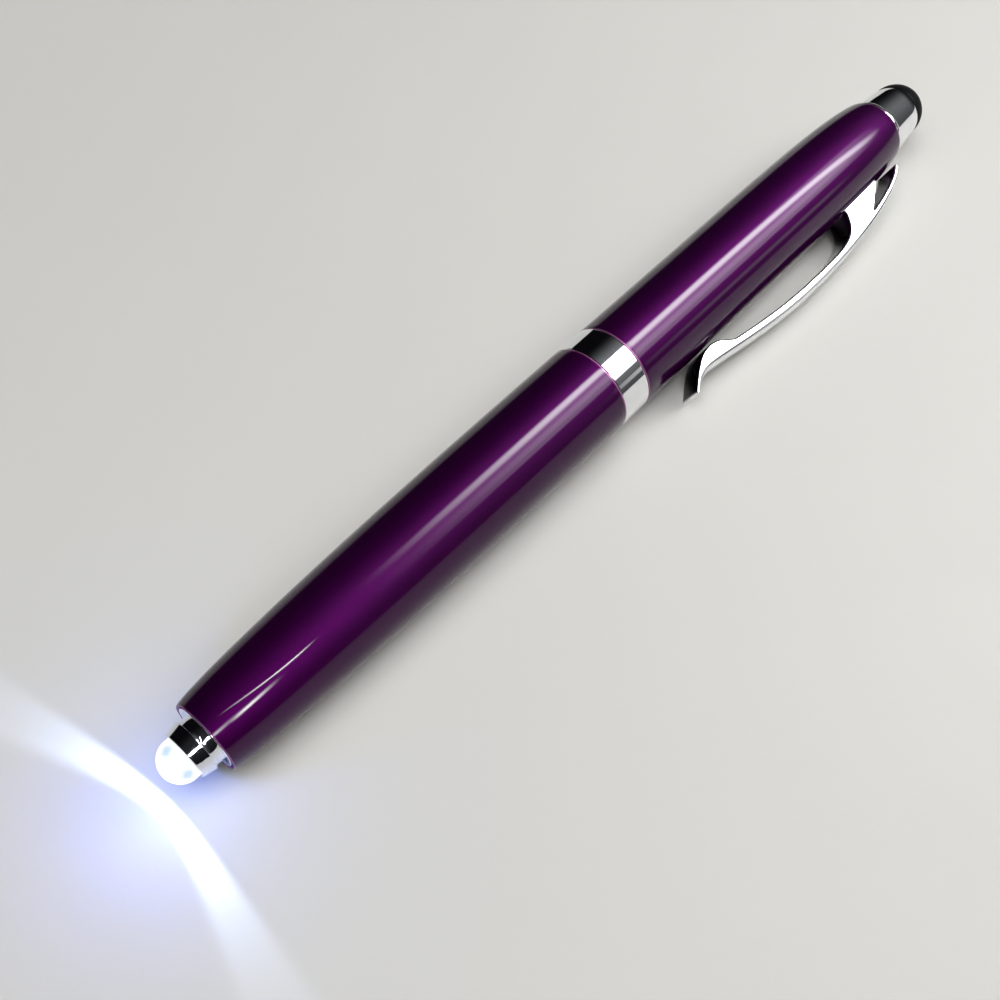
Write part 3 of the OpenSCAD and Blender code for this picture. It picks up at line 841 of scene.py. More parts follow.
class CellStack(RuleShape):
    """Button cells in a row, each a can with a narrower cap."""

    SIDES = 96
    COUNT = 3
    CAP_STEP = 0.7
    CAP_HEIGHT = 0.3
    EDGE = 0.12
    EDGE_ANGLE = 30.0

    def __init__(self) -> None:
        """Builds the tree."""
        super().__init__("cell_stack", ("Pitch", "Radius", "Cap radius", "Cap height"), ("Count",))
        size = self.inputs
        can_height = self.math("SUBTRACT", size["Pitch"], size["Cap height"])
        cell = self.add("GeometryNodeJoinGeometry")
        for radius, height in ((size["Radius"], can_height), (size["Cap radius"], size["Pitch"])):
            values = {"Vertices": self.SIDES, "Radius": radius, "Depth": height}
            can = self.add("GeometryNodeMeshCylinder", values).outputs[0]
            lift = self.add("ShaderNodeCombineXYZ", {2: self.math("MULTIPLY", height, 0.5)}).outputs[0]
            lifted = self.add("GeometryNodeTransform", {"Geometry": can, "Translation": lift})
            self.put(cell.inputs[0], lifted.outputs[0])
        step = self.add("ShaderNodeCombineXYZ", {2: size["Pitch"]})
        line = self.add("GeometryNodeMeshLine", {"Count": size["Count"], "Offset": step.outputs[0]})
        values = {"Points": line.outputs[0], "Instance": cell.outputs[0]}
        self.end(self.add("GeometryNodeInstanceOnPoints", values).outputs[0])

    def make(self, pen: PenFrame, material: Material) -> Object:
        """Makes the cells.

        Args:
            pen: Place of the pen.
            material: Finish of the cells.

        Returns:
            The stack.
        """
        first, last = pen.span("battery_1")
        radius = radius_of("battery_1")
        values = {"Pitch": (last - first) * MM, "Radius": radius * MM,
                  "Cap radius": (radius - self.CAP_STEP) * MM, "Cap height": self.CAP_HEIGHT * MM,
                  "Count": self.COUNT, "Finish": material}
        piece = self.host("cells", values)
        round_edges(piece, "soft_edges", self.EDGE, self.EDGE_ANGLE)
        place = Matrix.Translation(pen.at(first)) @ Matrix.Rotation(math.pi / 2, 4, "Y")
        return settle(piece, material, place)


@dataclass
class Assembly:
    """A sub-assembly, with the pen's place and the finishes that it is dressed in."""

    pen: PenFrame
    finishes: Finishes

    def turned(self, name: str, outline: list[Corner], material: Material, slot: Slot, body: Body,
               node: str, closed: bool = True) -> Object:
        """Turns an outline into a finished piece that stands for a solid.

        Args:
            name: Name of the piece.
            outline: Corners as radius, place along the pen, and size of the rounding.
            material: Finish of the piece.
            slot: Slot of the record.
            body: Body that the piece rides on.
            node: Solid that the piece replaces.
            closed: Whether the last corner joins the first, as on a ring.

        Returns:
            The piece.
        """
        points = rounded(outline + outline[:1])[:-1] if closed else rounded(outline)
        piece = turn(self.pen, name, points, material, closed)
        present(piece, slot, body, node)
        return piece


@dataclass
class Barrel(Assembly):
    """Lacquered barrel, chrome band and the collar in the lamp end."""

    straight: float = 10.0
    bend: float = 2.3
    fullness: float = 0.58
    wall: float = 0.37
    edge: float = 0.16
    band_edge: float = 0.14
    band_bore: float = 4.02
    collar_bore: float = 3.0
    collar_wall: float = 0.5
    collar_lip: float = 0.6

    def build(self, shells: SwellShell) -> None:
        """Builds and dresses the barrel's pieces.

        Args:
            shells: Tree that draws the swelling tubes.
        """
        first, last = self.pen.span("barrel_shell")
        full = radius_of("barrel_shell")
        nose = radius_of("lamp_collar") + FIT + self.wall
        sizes = {"Length": last - first, "Straight": self.straight, "End radius": nose,
                 "Full radius": full, "Taper": 0.0, "Bend": self.bend, "Fullness": self.fullness}
        place = Matrix.Translation(self.pen.at(first))
        shell = shells.make("barrel_skin", sizes, self.wall, self.edge, self.finishes.lacquer, place)
        present(shell, Slot.LACQUER, Body.BARREL, "barrel_shell")
        self.band(full)
        self.collar()

    def band(self, full: float) -> None:
        """Builds the chrome band with its spigot in the barrel's mouth.

        Args:
            full: Radius of the band, which is the barrel's.
        """
        start, end = self.pen.span("centre_band")
        spigot = full - STEP
        outline = [(self.band_bore, start, SHARP), (spigot, start, SOFT_EDGE), (spigot, SEAM, SHARP),
                   (full, SEAM, self.band_edge), (full, end, self.band_edge),
                   (self.band_bore, end, SOFT_EDGE)]
        self.turned("band", outline, self.finishes.chrome, Slot.CHROME, Body.BARREL, "centre_band")

    def collar(self) -> None:
        """Builds the collar that the lamp ring screws into."""
        start, end = self.pen.span("lamp_collar")
        outer, lip = radius_of("lamp_collar"), start + self.collar_lip
        bore = outer - self.collar_wall
        outline = [(self.collar_bore, start, SHARP), (outer, start, MILD_EDGE), (outer, end, FINE_EDGE),
                   (bore, end, FINE_EDGE), (bore, lip, FINE_EDGE), (self.collar_bore, lip, FINE_EDGE)]
        self.turned("collar", outline, self.finishes.chrome, Slot.CHROME, Body.BARREL, "lamp_collar")


@dataclass
class LampHead(Assembly):
    """Chrome lamp ring, washer and the lit diode in it."""

    resin: LitResin = LitResin()
    bore: float = 2.55
    front: float = 2.89
    back: float = 3.25
    neck: float = 2.95
    ring_len: float = 1.7
    neck_len: float = 1.1
    collar_len: float = 1.14
    shank_wall: float = 0.45
    edge: float = 0.12
    flange_len: float = 1.0
    dome_drop: float = 0.2
    dome_steps: int = 24
    post_place: Point = (0.78, 0.97)
    post_side: float = 115.0
    post_turn: float = 42.0

    def build(self) -> None:
        """Builds and dresses the lamp's pieces."""
        self.ring()
        self.diode()
        dress(self.finishes.steel, "led_washer", "led_leads")
        dress(self.finishes.board, "contact_board")
        dress(self.finishes.brass, "contact_pin")

    def ring(self) -> None:
        """Builds the flared ring with its groove, neck and shank."""
        start, end = self.pen.span("lamp_ring")
        shank = radius_of("lamp_ring")
        groove = start + self.ring_len
        shoulder = groove + self.neck_len + self.collar_len
        inside, seat = shank - self.shank_wall, self.pen.span("led_body")[1] - self.flange_len - SEAM
        outline = [(self.bore, start, SHARP), (self.front, start, self.edge),
                   (self.back, groove, self.edge), (self.neck, groove, FINE_EDGE),
                   (self.neck, shoulder, SHARP), (shank, shoulder, FINE_EDGE), (shank, end, FINE_EDGE),
                   (inside, end, FINE_EDGE), (inside, seat, SHARP), (self.bore, seat, SHARP)]
        chrome = self.finishes.ring_chrome
        self.turned("lamp_bezel", outline, chrome, Slot.CHROME, Body.LAMP_HEAD, "lamp_ring")

    def diode(self) -> None:
        """Builds the diode's domed resin."""
        tip, base = self.pen.span("led_body")
        flange, radius = radius_of("led_body"), self.bore - SEAM
        middle, step = tip + radius, base - self.flange_len
        flatter = (radius - self.dome_drop) / radius
        dome = [(r, middle + (u - middle) * flatter, SHARP)
                for r, u, _ in arc(middle, radius, 180, 90, self.dome_steps)]
        outline = dome + [(radius, step, FINE_EDGE), (flange, step, SOFT_EDGE),
                          (flange, base, SOFT_EDGE), (0.0, base, SHARP)]
        along, out = tip + self.post_place[0] * radius, self.post_place[1] * radius
        sides = [math.radians(self.post_side + turned) for turned in (-self.post_turn, self.post_turn)]
        resin = self.resin.make([self.pen.around(along, out, side) for side in sides])
        piece = self.turned("lamp_dome", outline, resin, Slot.LED_RESIN, Body.LAMP_MODULE, "led_body",
                            closed=False)
        piece.visible_shadow = False


@dataclass
class Cap(Assembly):
    """Lacquered cap with its liner, stylus ferrule and rubber dome."""

    straight: float = 17.9
    taper: float = 0.02
    bend: float = 5.0
    fullness: float = 0.8
    end_radius: float = 4.85
    wall: float = 0.6
    edge: float = 0.15
    ferrule_base: float = 4.68
    ferrule_wall: float = 0.65
    bead_edges: Corner = (0.22, 0.18, 0.12)
    bead_len: float = 0.55
    bead_fall: float = 0.02
    cone_start: float = 0.72
    cone_step: float = 0.16
    roll_len: float = 1.1
    roll_in: float = 0.05
    roll_steps: int = 6
    rubber_wall: float = 0.8
    rubber_edge: float = 0.2
    dome_start: float = 84.0
    dome_steps: tuple[int, int] = (26, 14)

    def build(self, shells: SwellShell) -> None:
        """Builds and dresses the cap's pieces.

        Args:
            shells: Tree that draws the swelling tubes.
        """
        first, last = self.pen.span("cap_shell")
        sizes = {"Length": last - first, "Straight": self.straight, "End radius": self.end_radius,
                 "Full radius": radius_of("cap_shell"), "Taper": self.taper, "Bend": self.bend,
                 "Fullness": self.fullness}
        place = Matrix.Translation(self.pen.at(last)) @ Matrix.Rotation(math.pi, 4, "Z")
        shell = shells.make("cap_skin", sizes, self.wall, self.edge, self.finishes.lacquer, place)
        present(shell, Slot.LACQUER, Body.CAP, "cap_shell")
        self.ferrule(last)
        self.tip()
        dress(self.finishes.dark_plastic, "cap_liner")
        dress(self.finishes.brass, "clip_retainer")
        dress(self.finishes.white_plastic, "stylus_core")

    def ferrule(self, cap_end: float) -> None:
        """Builds the chrome ferrule with a small bead at its base and its end rolled in over the rubber.

        Args:
            cap_end: Place of the cap's stylus end.
        """
        start, end = self.pen.span("stylus_ferrule")
        rubber, foot = radius_of("stylus_tip"), self.ferrule_base
        bore, spigot, base = rubber - self.ferrule_wall, self.end_radius - STEP, cap_end + SEAM
        cone, cone_at, mouth = foot - self.cone_step, base + self.cone_start, rubber + FIT
        front, back, hollow = self.bead_edges
        slope = (cone - mouth) / (end - cone_at)
        roll = []
        for k in range(self.roll_steps + 1):
            share = k / self.roll_steps
            left = self.roll_len * (1 - share)
            radius = mouth + slope * left - self.roll_in * share * share
            roll.append((radius, end - left, SHARP if share < 1 else FINE_EDGE))
        outline = [(bore, start, SHARP), (spigot, start, SOFT_EDGE), (spigot, base, SHARP),
                   (foot, base, front), (foot - self.bead_fall, base + self.bead_len, back),
                   (cone, cone_at, hollow), *roll, (bore, end, FINE_EDGE)]
        self.turned("ferrule", outline, self.finishes.chrome, Slot.CHROME, Body.CAP, "stylus_ferrule")

    def tip(self) -> None:
        """Builds the hollow rubber dome with its stem."""
        start, end = self.pen.span("stylus_tip")
        rubber, wall = radius_of("stylus_tip"), self.rubber_wall
        seat = self.pen.span("stylus_ferrule")[1] + SEAM
        stem, middle, floor = rubber - STEP, end - rubber, seat + wall
        outer = [(stem - wall, start, SHARP), (stem, start, MILD_EDGE), (stem, seat, SHARP),
                 (rubber, seat, self.rubber_edge)]
        outer += arc(middle, rubber, self.dome_start, 0, self.dome_steps[0])
        stop = math.degrees(math.acos((floor - middle) / (rubber - wall)))
        inner = arc(middle, rubber - wall, 0, stop, self.dome_steps[1]) + [(stem - wall, floor, SHARP)]
        material = self.finishes.rubber
        self.turned("stylus_dome", outer + inner, material, Slot.RUBBER, Body.CAP, "stylus_tip")


def level(length: float) -> Vector:
    """Gives a handle of a curve that runs along the pen."""
    return Vector((length, 0))


def bezier(p: list[Vector], t: float) -> Vector:
    """Gives a point on a curve with four control points."""
    s = 1 - t
    return p[0] * s ** 3 + p[1] * 3 * t * s ** 2 + p[2] * 3 * t * t * s + p[3] * t ** 3


def below(p: list[Vector], t: float, depth: float) -> Vector:
    """Gives a point at a depth under a curve."""
    way = (p[1] - p[0]) * (1 - t) ** 2 + (p[2] - p[1]) * 2 * t * (1 - t) + (p[3] - p[2]) * t * t
    return bezier(p, t) + Vector((way.y, -way.x)).normalized() * depth


@dataclass
class Clip(Assembly):
    """Sprung chrome clip: lip, contact bump, arm, foot on the cap and open notch under its tail.

    Its side is drawn with curves through named points, by place along the pen and distance from the axis.
    The pulls are the handles of the curves there, and the shares are places on a curve from 0 to 1.
    """

    width: float = 4.4
    thick: float = 1.05
    tail_thick: float = 0.55
    lip_thick: float = 0.45
    lip: Vector = Vector((10.1, 9.63))
    dip: Vector = Vector((13.9, 8.13))
    bump: Vector = Vector((15.8, 6.14))
    crest: Vector = Vector((35.0, 10.17))
    tail: Vector = Vector((60.0, 6.06))
    foot_start: Vector = Vector((47.2, 5.9))
    foot_end: Vector = Vector((55.1, 5.64))
    sink: float = 0.6
    lip_pull: Vector = Vector((1.1, -0.8))
    under_lip_pull: Vector = Vector((1.5, -1.2))
    dip_pulls: Point = (1.6, 3.1)
    bump_pulls: Point = (2.2, 2.8)
    neck_pull: Vector = Vector((1.8, 0.1))
    crest_pulls: Point = (10.0, 12.0)
    tail_pull: Vector = Vector((2.2, -2.3))
    fillet_pull: float = 4.9
    foot_pull: Vector = Vector((-1.0, 2.2))
    fillet_share: float = 0.14
    notch_share: float = 0.5
    neck_share: float = 0.42
    steps: int = 30
    end_steps: int = 8
    edge: float = 0.26
    edge_cuts: int = 4
    face_cuts: int = 5
    outer_edge: float = 0.5
    outer_edge_run: float = 16.0
    lip_edge: Point = (0.3, 5.0)
    tail_edge: Point = (0.75, 6.0)
    crown: float = 0.42
    crown_rise: Point = (6.0, 10.0)
    corner_limit: float = 0.6
    bend_half: float = 3.0
    # Share of the painted shade on the inner faces away from the lip's front.
    inner_shade_share: float = 0.6

    def strip(self, curve: list[Vector], t: float) -> Vector:
        """Gives a point under the tail's curve, where the strip grows thinner."""
        return below(curve, t, self.thick + (self.tail_thick - self.thick) * t)

    def round_end(self, start: Vector, end: Vector) -> list[Vector]:
        """Rounds an end of the strip.

        Args:
            start: Edge where the half circle starts.
            end: Edge where it ends.

        Returns:
            The points of the half circle, without its ends.
        """
        middle, arm = (start + end) / 2, (start - end) / 2
        out = Vector((arm.y, -arm.x))
        angles = [math.pi * k / self.end_steps for k in range(1, self.end_steps)]
        return [middle + arm * math.cos(a) + out * math.sin(a) for a in angles]

    def outline(self) -> tuple[list[Vector], list[float]]:
        """Draws the clip's side outline.

        Returns:
            The points along the pen and out from its axis, and the share of the crown at each.
        """
        shares = [k / self.steps for k in range(self.steps + 1)]
        later, backward = shares[1:], [1 - t for t in shares]
        lip, dip, bump, crest, tail = self.lip, self.dip, self.bump, self.crest, self.tail
        under_lip = lip - Vector((0, self.lip_thick))
        lip_c = [lip, lip + self.lip_pull, dip - level(self.dip_pulls[0]), dip]
        arm_c = [dip, dip + level(self.dip_pulls[1]), crest - level(self.crest_pulls[0]), crest]
        tail_c = [crest, crest + level(self.crest_pulls[1]), tail - self.tail_pull, tail]
        neck = below(arm_c, self.neck_share, self.thick)
        bump_back = [bump, bump + level(self.bump_pulls[1]), neck - self.neck_pull, neck]
        bump_front = [under_lip, under_lip + self.under_lip_pull, bump - level(self.bump_pulls[0]), bump]
        top = self.strip(tail_c, self.fillet_share)
        start, end, sunk = self.foot_start, self.foot_end, Vector((0, self.sink))
        fillet = [top, top + level(self.fillet_pull), start + self.foot_pull, start]

        outer = [bezier(lip_c, t) for t in shares]
        outer += [bezier(curve, t) for curve in (arm_c, tail_c) for t in later]
        rest = self.round_end(tail, self.strip(tail_c, 1.0))
        rest += [self.strip(tail_c, 1 - (1 - self.notch_share) * t) for t in shares]
        rest += [end, end - sunk, start - sunk]
        rest += [bezier(fillet, t) for t in backward]
        rest += [self.strip(tail_c, self.fillet_share * t) for t in backward[1:]]
        rest += [below(arm_c, 1 - (1 - self.neck_share) * t, self.thick) for t in later]
        rest += [bezier(curve, t) for curve in (bump_back, bump_front) for t in backward[1:]]
        rest += self.round_end(under_lip, lip)

        last = len(outer) - 1
        rise, fall = self.crown_rise
        crowns = [min(1.0, rise * k / last, fall * (last - k) / last) for k in range(last + 1)]
        return outer + rest, crowns + [0.0] * len(rest)

    def inward(self, points: list[Vector]) -> list[Vector]:
        """Finds the inward direction at each point of the outline.

        Args:
            points: Points of the closed outline.

        Returns:
            The directions, longer at corners.
        """
        count = len(points)
        turned = sum(points[i].cross(points[(i + 1) % count]) for i in range(count))
        sign = 1.0 if turned > 0 else -1.0
        ways = []
        for i in range(count):
            back = (points[i] - points[i - 1]).normalized()
            ahead = (points[(i + 1) % count] - points[i]).normalized()
            first, second = (Vector((-side.y, side.x)) * sign for side in (back, ahead))
            middle = (first + second).normalized()
            ways.append(middle / max(self.corner_limit, middle.dot(first)))
        return ways

    def slices(self) -> list[Corner]:
        """Gives the cuts across the clip.

        Returns:
            Place, inset and crown of each cut.
        """
        half, edge = self.width / 2, self.edge
        cuts = []
        for k in range(self.edge_cuts + 1):
            angle = math.radians(90 * k / self.edge_cuts)
            cuts.append((half - edge * (1 - math.cos(angle)), edge * (1 - math.sin(angle))))
        middle = [((half - edge) * (1 - k / self.face_cuts), 0.0) for k in range(1, 2 * self.face_cuts)]
        both = cuts + middle + [(-b, inset) for b, inset in reversed(cuts)]
        return [(b, inset, self.crown * (1 - (b / half) ** 2)) for b, inset in both]

    def rows(self, work: bmesh.types.BMesh) -> list[list[bmesh.types.BMVert]]:
        """Draws the outline in every cut, with rounder edges on the outer face than at the ends.

        Args:
            work: Mesh that the points go into.

        Returns:
            The points of each cut.
        """
        points, crowns = self.outline()
        ways = self.inward(points)
        rows = []
        for b, inset, crown in self.slices():
            row = []
            for point, share, way in zip(points, crowns, ways):
                to_lip, to_tail = (point - self.lip).length, (point - self.tail).length
                near = min(1.0, self.lip_edge[0] + to_lip / self.lip_edge[1],
                           self.tail_edge[0] + to_tail / self.tail_edge[1])
                run = min(1.0, to_tail / self.outer_edge_run)
                size = 1 + (self.outer_edge / self.edge - 1) * share * run
                spot = point + way * inset * size * near + Vector((0, crown * share))
                row.append(work.verts.new(self.pen.at(spot.x, spot.y, b)))
            rows.append(row)
        return rows

    def build(self) -> None:
        """Builds the clip."""
        work = bmesh.new()
        inner_side = work.faces.layers.float.new(INNER_SIDE)
        rows = self.rows(work)
        count = len(rows[0])
        under_tail, under_lip = 3 * self.steps + self.end_steps, count - self.steps - self.end_steps
        round_lip = count - self.end_steps + 1
        for first, second in zip(rows, rows[1:]):
            for i in range(count):
                j = (i + 1) % count
                face = work.faces.new([first[i], first[j], second[j], second[i]])
                # Inner faces get painted shade, full on the lip's front, where the crevice's shade shows.
                if under_tail <= i < round_lip:
                    face[inner_side] = 1.0 if i >= under_lip else self.inner_shade_share
        for row in (rows[0], rows[-1]):
            for corners in tessellate_polygon([[vert.co for vert in row]]):
                work.faces.new([row[i] for i in corners])
        piece = from_drawn("clip", work, self.finishes.cast_chrome)
        start, end = self.crest.x + self.bend_half, self.crest.x - self.bend_half
        self.pen.at(start)
        self.pen.at(end)
        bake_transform(piece)
        present(piece, Slot.CHROME, None, "clip_arm", "clip_foot")


@dataclass
class WritingEnd(Assembly):
    """Section, nose cone, refill and ball under the cap."""

    bore: float = 1.8
    thread: float = 3.99
    thread_edge: float = 0.2
    belt_len: float = 0.7
    belt_edge: float = 0.3
    shoulder_edge: float = 0.15
    nose: float = 3.79
    nose_edge: float = 0.2
    socket: float = 2.26
    socket_len: float = 5.05
    cone_bore: float = 1.225
    cone_spigot: float = 2.225
    cone_mouth: float = 1.575
    mouth_edge: float = 0.12

    def build(self) -> None:
        """Builds and dresses the writing end."""
        self.section()
        self.cone()
        dress(self.finishes.white_plastic, "section_insert")
        dress(self.finishes.steel, "refill_tube", "writing_ball")
        dress(self.finishes.ink, "refill_ink")
        dress(self.finishes.brass, "refill_nib")

    def section(self) -> None:
        """Builds the section that the fingers hold."""
        start, end = self.pen.span("grip_section")
        full = radius_of("grip_section")
        seat, floor = self.pen.span("centre_band")[1] + SEAM, end - self.socket_len
        outline = [(self.bore, start, SHARP), (self.thread, start, self.thread_edge),
                   (self.thread, seat, SHARP), (full, seat, self.shoulder_edge),
                   (full, seat + self.belt_len, self.belt_edge), (self.nose, end, self.nose_edge),
                   (self.socket, end, SOFT_EDGE), (self.socket, floor, SHARP), (self.bore, floor, SHARP)]
        plastic = self.finishes.dark_plastic
        self.turned("finger_section", outline, plastic, Slot.DARK_PLASTIC, Body.BARREL, "grip_section")

    def cone(self) -> None:
        """Builds the nose cone."""
        start, end = self.pen.span("nose_cone")
        base = self.pen.span("grip_section")[1] + SEAM
        outline = [(self.cone_bore, start, SHARP), (self.cone_spigot, start, SOFT_EDGE),
                   (self.cone_spigot, base, SHARP), (self.nose - FIT, base, self.shoulder_edge),
                   (self.cone_mouth, end, self.mouth_edge), (self.cone_bore, end, FINE_EDGE)]
        self.turned("cone", outline, self.finishes.chrome, Slot.CHROME, Body.BARREL, "nose_cone")


@dataclass
class Power(Assembly):
    """Cells, spring, sleeve and plug that feed the lamp."""

    turns: float = 4.0
    wire: float = 0.5

    def build(self) -> None:
        """Builds and dresses the power pieces."""
        spring = SpringCoil().make(self.pen, self.finishes.steel, self.turns, self.wire)
        present(spring, Slot.STEEL, Body.BARREL, "battery_spring")
        cells = CellStack().make(self.pen, self.finishes.steel)
        present(cells, Slot.STEEL, Body.BARREL, "battery_1", "battery_2", "battery_3")
        dress(self.finishes.white_plastic, "battery_sleeve")
        dress(self.finishes.brass, "earth_plug")


def staged(name: str, points: list[Corner], faces: list[tuple[int, ...]], material: Material) -> Object:
    """Adds a mesh of the setting, which isn't part of the pen.

    Args:
        name: Name of the object.
        points: Corners, in metres.
        faces: Corners of each face.
        material: Finish of the mesh.

    Returns:
        The object.
    """
    mesh = bpy.data.meshes.new(name)
    mesh.from_pydata(points, [], faces)
    mesh.materials.append(material)
    thing = new_object(name, mesh)
    return thing


@dataclass(frozen=True)
class Bar:
    """Bright bar of a light panel, with its place across it and its half width in degrees."""

    across: float
    half: float
    radiance: float
    soft: float = 0.3
    swerve: float = 0.0


@dataclass(frozen=True)
class Panel:
    """Light panel along the pen, facing its axis and brighter in bars.

    The angle is counted from straight up towards the clip's side. Bars lie across the panel in degrees from
    its middle. A panel can be there only to light the table, or only to be mirrored.
    """

    name: str
    angle: float
    distance: float
    middle: float
    length: float
    reach: float
    bars: tuple[Bar, ...]
    fade: tuple[float, float, float, float]
    swerve: Point = (0.0, 1.0)
    lights: bool = True
    mirrored: bool = True

    def across(self, degrees: float) -> float:
        """Gives the place across the panel that lies at an angle, in metres."""
        return -self.distance * math.tan(math.radians(degrees)) * MM

    def place(self, pen: PenFrame) -> None:
        """Puts the panel into the scene.

        Args:
            pen: Place of the pen.
        """
        x, y = self.length / 2 * MM, -self.across(self.reach)
        corners = [(-x, -y, 0), (-x, y, 0), (x, y, 0), (x, -y, 0)]
        panel = staged(self.name, corners, [(0, 1, 2, 3)], self.glow())
        turned = math.radians(self.angle)
        away = Vector((0, -math.sin(turned), math.cos(turned)))
        panel.location = pen.at(self.middle) + away * self.distance * MM
        panel.rotation_euler = (turned, 0, 0)
        panel.visible_camera = panel.visible_shadow = False
        panel.visible_diffuse = self.lights
        panel.visible_glossy = self.mirrored

    def glow(self) -> Material:
        """Builds the panel's light from its bars and the fade along it.

        Returns:
            The material.
        """
        skin = Surface(self.name)
        along, aside, _ = skin.axes(skin.place)
        lights = []
        for bar in self.bars:
            ends = self.across(bar.across), self.across(bar.across + bar.swerve)
            line = skin.span(along, self.swerve[0] * MM, self.swerve[1] * MM, *ends)
            gap = skin.math("ABSOLUTE", skin.math("SUBTRACT", aside, line))
            half = self.distance * math.radians(bar.half) * MM
            lights.append(skin.span(gap, half * (1 - bar.soft), half * (1 + bar.soft), bar.radiance, 0))
        rise = skin.span(along, self.fade[0] * MM, self.fade[1] * MM, 0, 1)
        fall = skin.span(along, self.fade[2] * MM, self.fade[3] * MM, 1, 0)
        power = skin.math("MULTIPLY", skin.fold("ADD", lights), skin.math("MULTIPLY", rise, fall))
        light = skin.add("ShaderNodeEmission", {"Color": (1, 1, 1), "Strength": power})
        clear = skin.add("ShaderNodeBsdfTransparent")
        both = skin.add("ShaderNodeAddShader", {0: clear.outputs[0], 1: light.outputs[0]})
        skin.put(skin.tree.nodes["Material Output"].inputs["Surface"], both.outputs[0])
        return skin.material


@dataclass(frozen=True)
class Shade:
    """Change of the room's light along one axis: its limits there, the light at both, and a power."""

    axis: int
    low: float
    high: float
    start: float
    end: float
    power: float = 1.0


@dataclass
class Studio:
    """Pale table, soft light, the lamp's own beam and the camera."""

    pen: PenFrame
    table: Colour = (0.655, 0.648, 0.618)
    table_dark: float = 0.965
    table_cloud: float = 60.0
    table_half: float = 3000.0
    table_rough: Point = (0.46, 0.54)
    table_rough_size: float = 18.0
    table_gloss: float = 0.16
    pool: Point = (70.0, 250.0)
    far: Colour = (0.02, 0.02, 0.02)
    far_glow: float = 0.95
    wall_tones: tuple[Colour, Colour] = ((0.61, 0.603, 0.575), (0.63, 0.623, 0.595))
    wall_cloud: float = 900.0
    wall_radius: float = 2500.0
    wall_height: float = 2600.0
    wall_sides: int = 64
    room_dark: Colour = (0.003, 0.003, 0.004)
    room_light: Colour = (0.215, 0.22, 0.225)
    room: tuple[Shade, ...] = (
        Shade(1, -0.15, 0.62, 1.0, 0.0, 1.3), Shade(0, -0.05, 0.5, 0.07, 1.0),
        Shade(0, 0.88, 0.96, 1.0, 0.1), Shade(2, 0.0, 0.9, 0.3, 1.0))
    lens: float = 45.5
    sensor: float = 36.0
    view_depth: Point = (0.005, 20.0)
    eye: Vector = Vector((-78.7, -56.7, 121.4))
    look: Vector = Vector((0.409, 0.370, -0.834))
    beam_colour: Colour = (0.56, 0.70, 1.0)
    beam_wide: float = 170.0
    beam_soft: float = 0.1
    beam_half: float = 75.0
    beam_rise: Point = (-12.0, -4.0)
    beam_fall: Point = (3.0, 10.0)
    beam_end: Point = (-8.0, 14.0)
    beam_ring: float = 0.014
    beam_core: float = 0.0011
    beam_size: float = 0.3
    beam_inset: float = 0.4
    halo_colour: Colour = (0.16, 0.28, 1.0)
    halo_power: float = 0.0045
    halo_size: float = 1.0
    halo_ahead: float = 1.5
    halo_above: float = 4.0
    panels: tuple[Panel, ...] = (
        Panel("window", 27.0, 300.0, 340.0, 740.0, 34.0,
              (Bar(1.0, 23.0, 3.4, 0.14), Bar(8.0, 6.0, 2.4, 0.6)), (-310.0, -150.0, -20.0, 200.0)),
        Panel("window_edge", 27.0, 299.0, 340.0, 740.0, 34.0, (Bar(-13.8, 6.3, 18.5, 0.75, 19.0),),
              (-310.0, -150.0, -20.0, 200.0), (-90.0, 130.0), lights=False),
        Panel("side_card", 72.0, 330.0, 200.0, 460.0, 6.0, (Bar(0.0, 4.5, 1.0, 0.4),),
              (-40.0, 90.0, 150.0, 220.0)),
        Panel("tube", 18.7, 300.0, -45.0, 120.0, 16.0, (Bar(-9.8, 1.3, 34.0, 0.6, 19.6),),
              (-45.0, 30.0, 35.0, 50.0), (-40.0, 42.0), lights=False),
        Panel("bulb", 39.0, 300.0, -50.0, 90.0, 10.0, (Bar(0.0, 3.0, 34.0, 0.8),),
              (-32.0, 0.0, 0.0, 30.0), lights=False),
        Panel("card", 36.0, 600.0, -260.0, 520.0, 8.0, (Bar(0.0, 3.5, 16.0, 0.8),),
              (-260.0, -60.0, 60.0, 250.0), lights=False),
        Panel("fill", 4.0, 700.0, -200.0, 1000.0, 34.0, (Bar(0.0, 24.0, 3.85, 0.6),),
              (-500.0, -200.0, 150.0, 500.0), mirrored=False),
    )

    def build(self) -> None:
        """Builds the whole setting."""
        self.floor()
        self.surround()
        self.world()
        for panel in self.panels:
            panel.place(self.pen)
        self.beam()
        self.halo()
        self.camera()
        bpy.context.scene.view_settings.view_transform = "Standard"

    def floor(self) -> None:
        """Lays the pale glossy table, which is lit round the pen and glows by itself further out."""
        skin = Surface("pale_table")
        cloud = skin.noise(self.table_cloud, Grain.FINE)
        dark = tuple(c * self.table_dark for c in self.table)
        flat = skin.add("ShaderNodeVectorMath", {0: skin.place}, operation="LENGTH").outputs["Value"]
        far = skin.span(flat, self.pool[0] * MM, self.pool[1] * MM, 0, 1)
        near = skin.blend(cloud, dark, self.table)
        skin.set(Base_Color=skin.blend(far, near, self.far), Emission_Color=near)
        skin.set(Emission_Strength=skin.math("MULTIPLY", far, self.far_glow))
        rough = skin.span(skin.noise(self.table_rough_size), *NOISE_CORE, *self.table_rough)
        skin.set(Roughness=rough, Specular_IOR_Level=self.table_gloss)
        half = self.table_half * MM
        corners = [(-half, -half, 0), (half, -half, 0), (half, half, 0), (-half, half, 0)]
        staged("table", corners, [(0, 1, 2, 3)], skin.material)

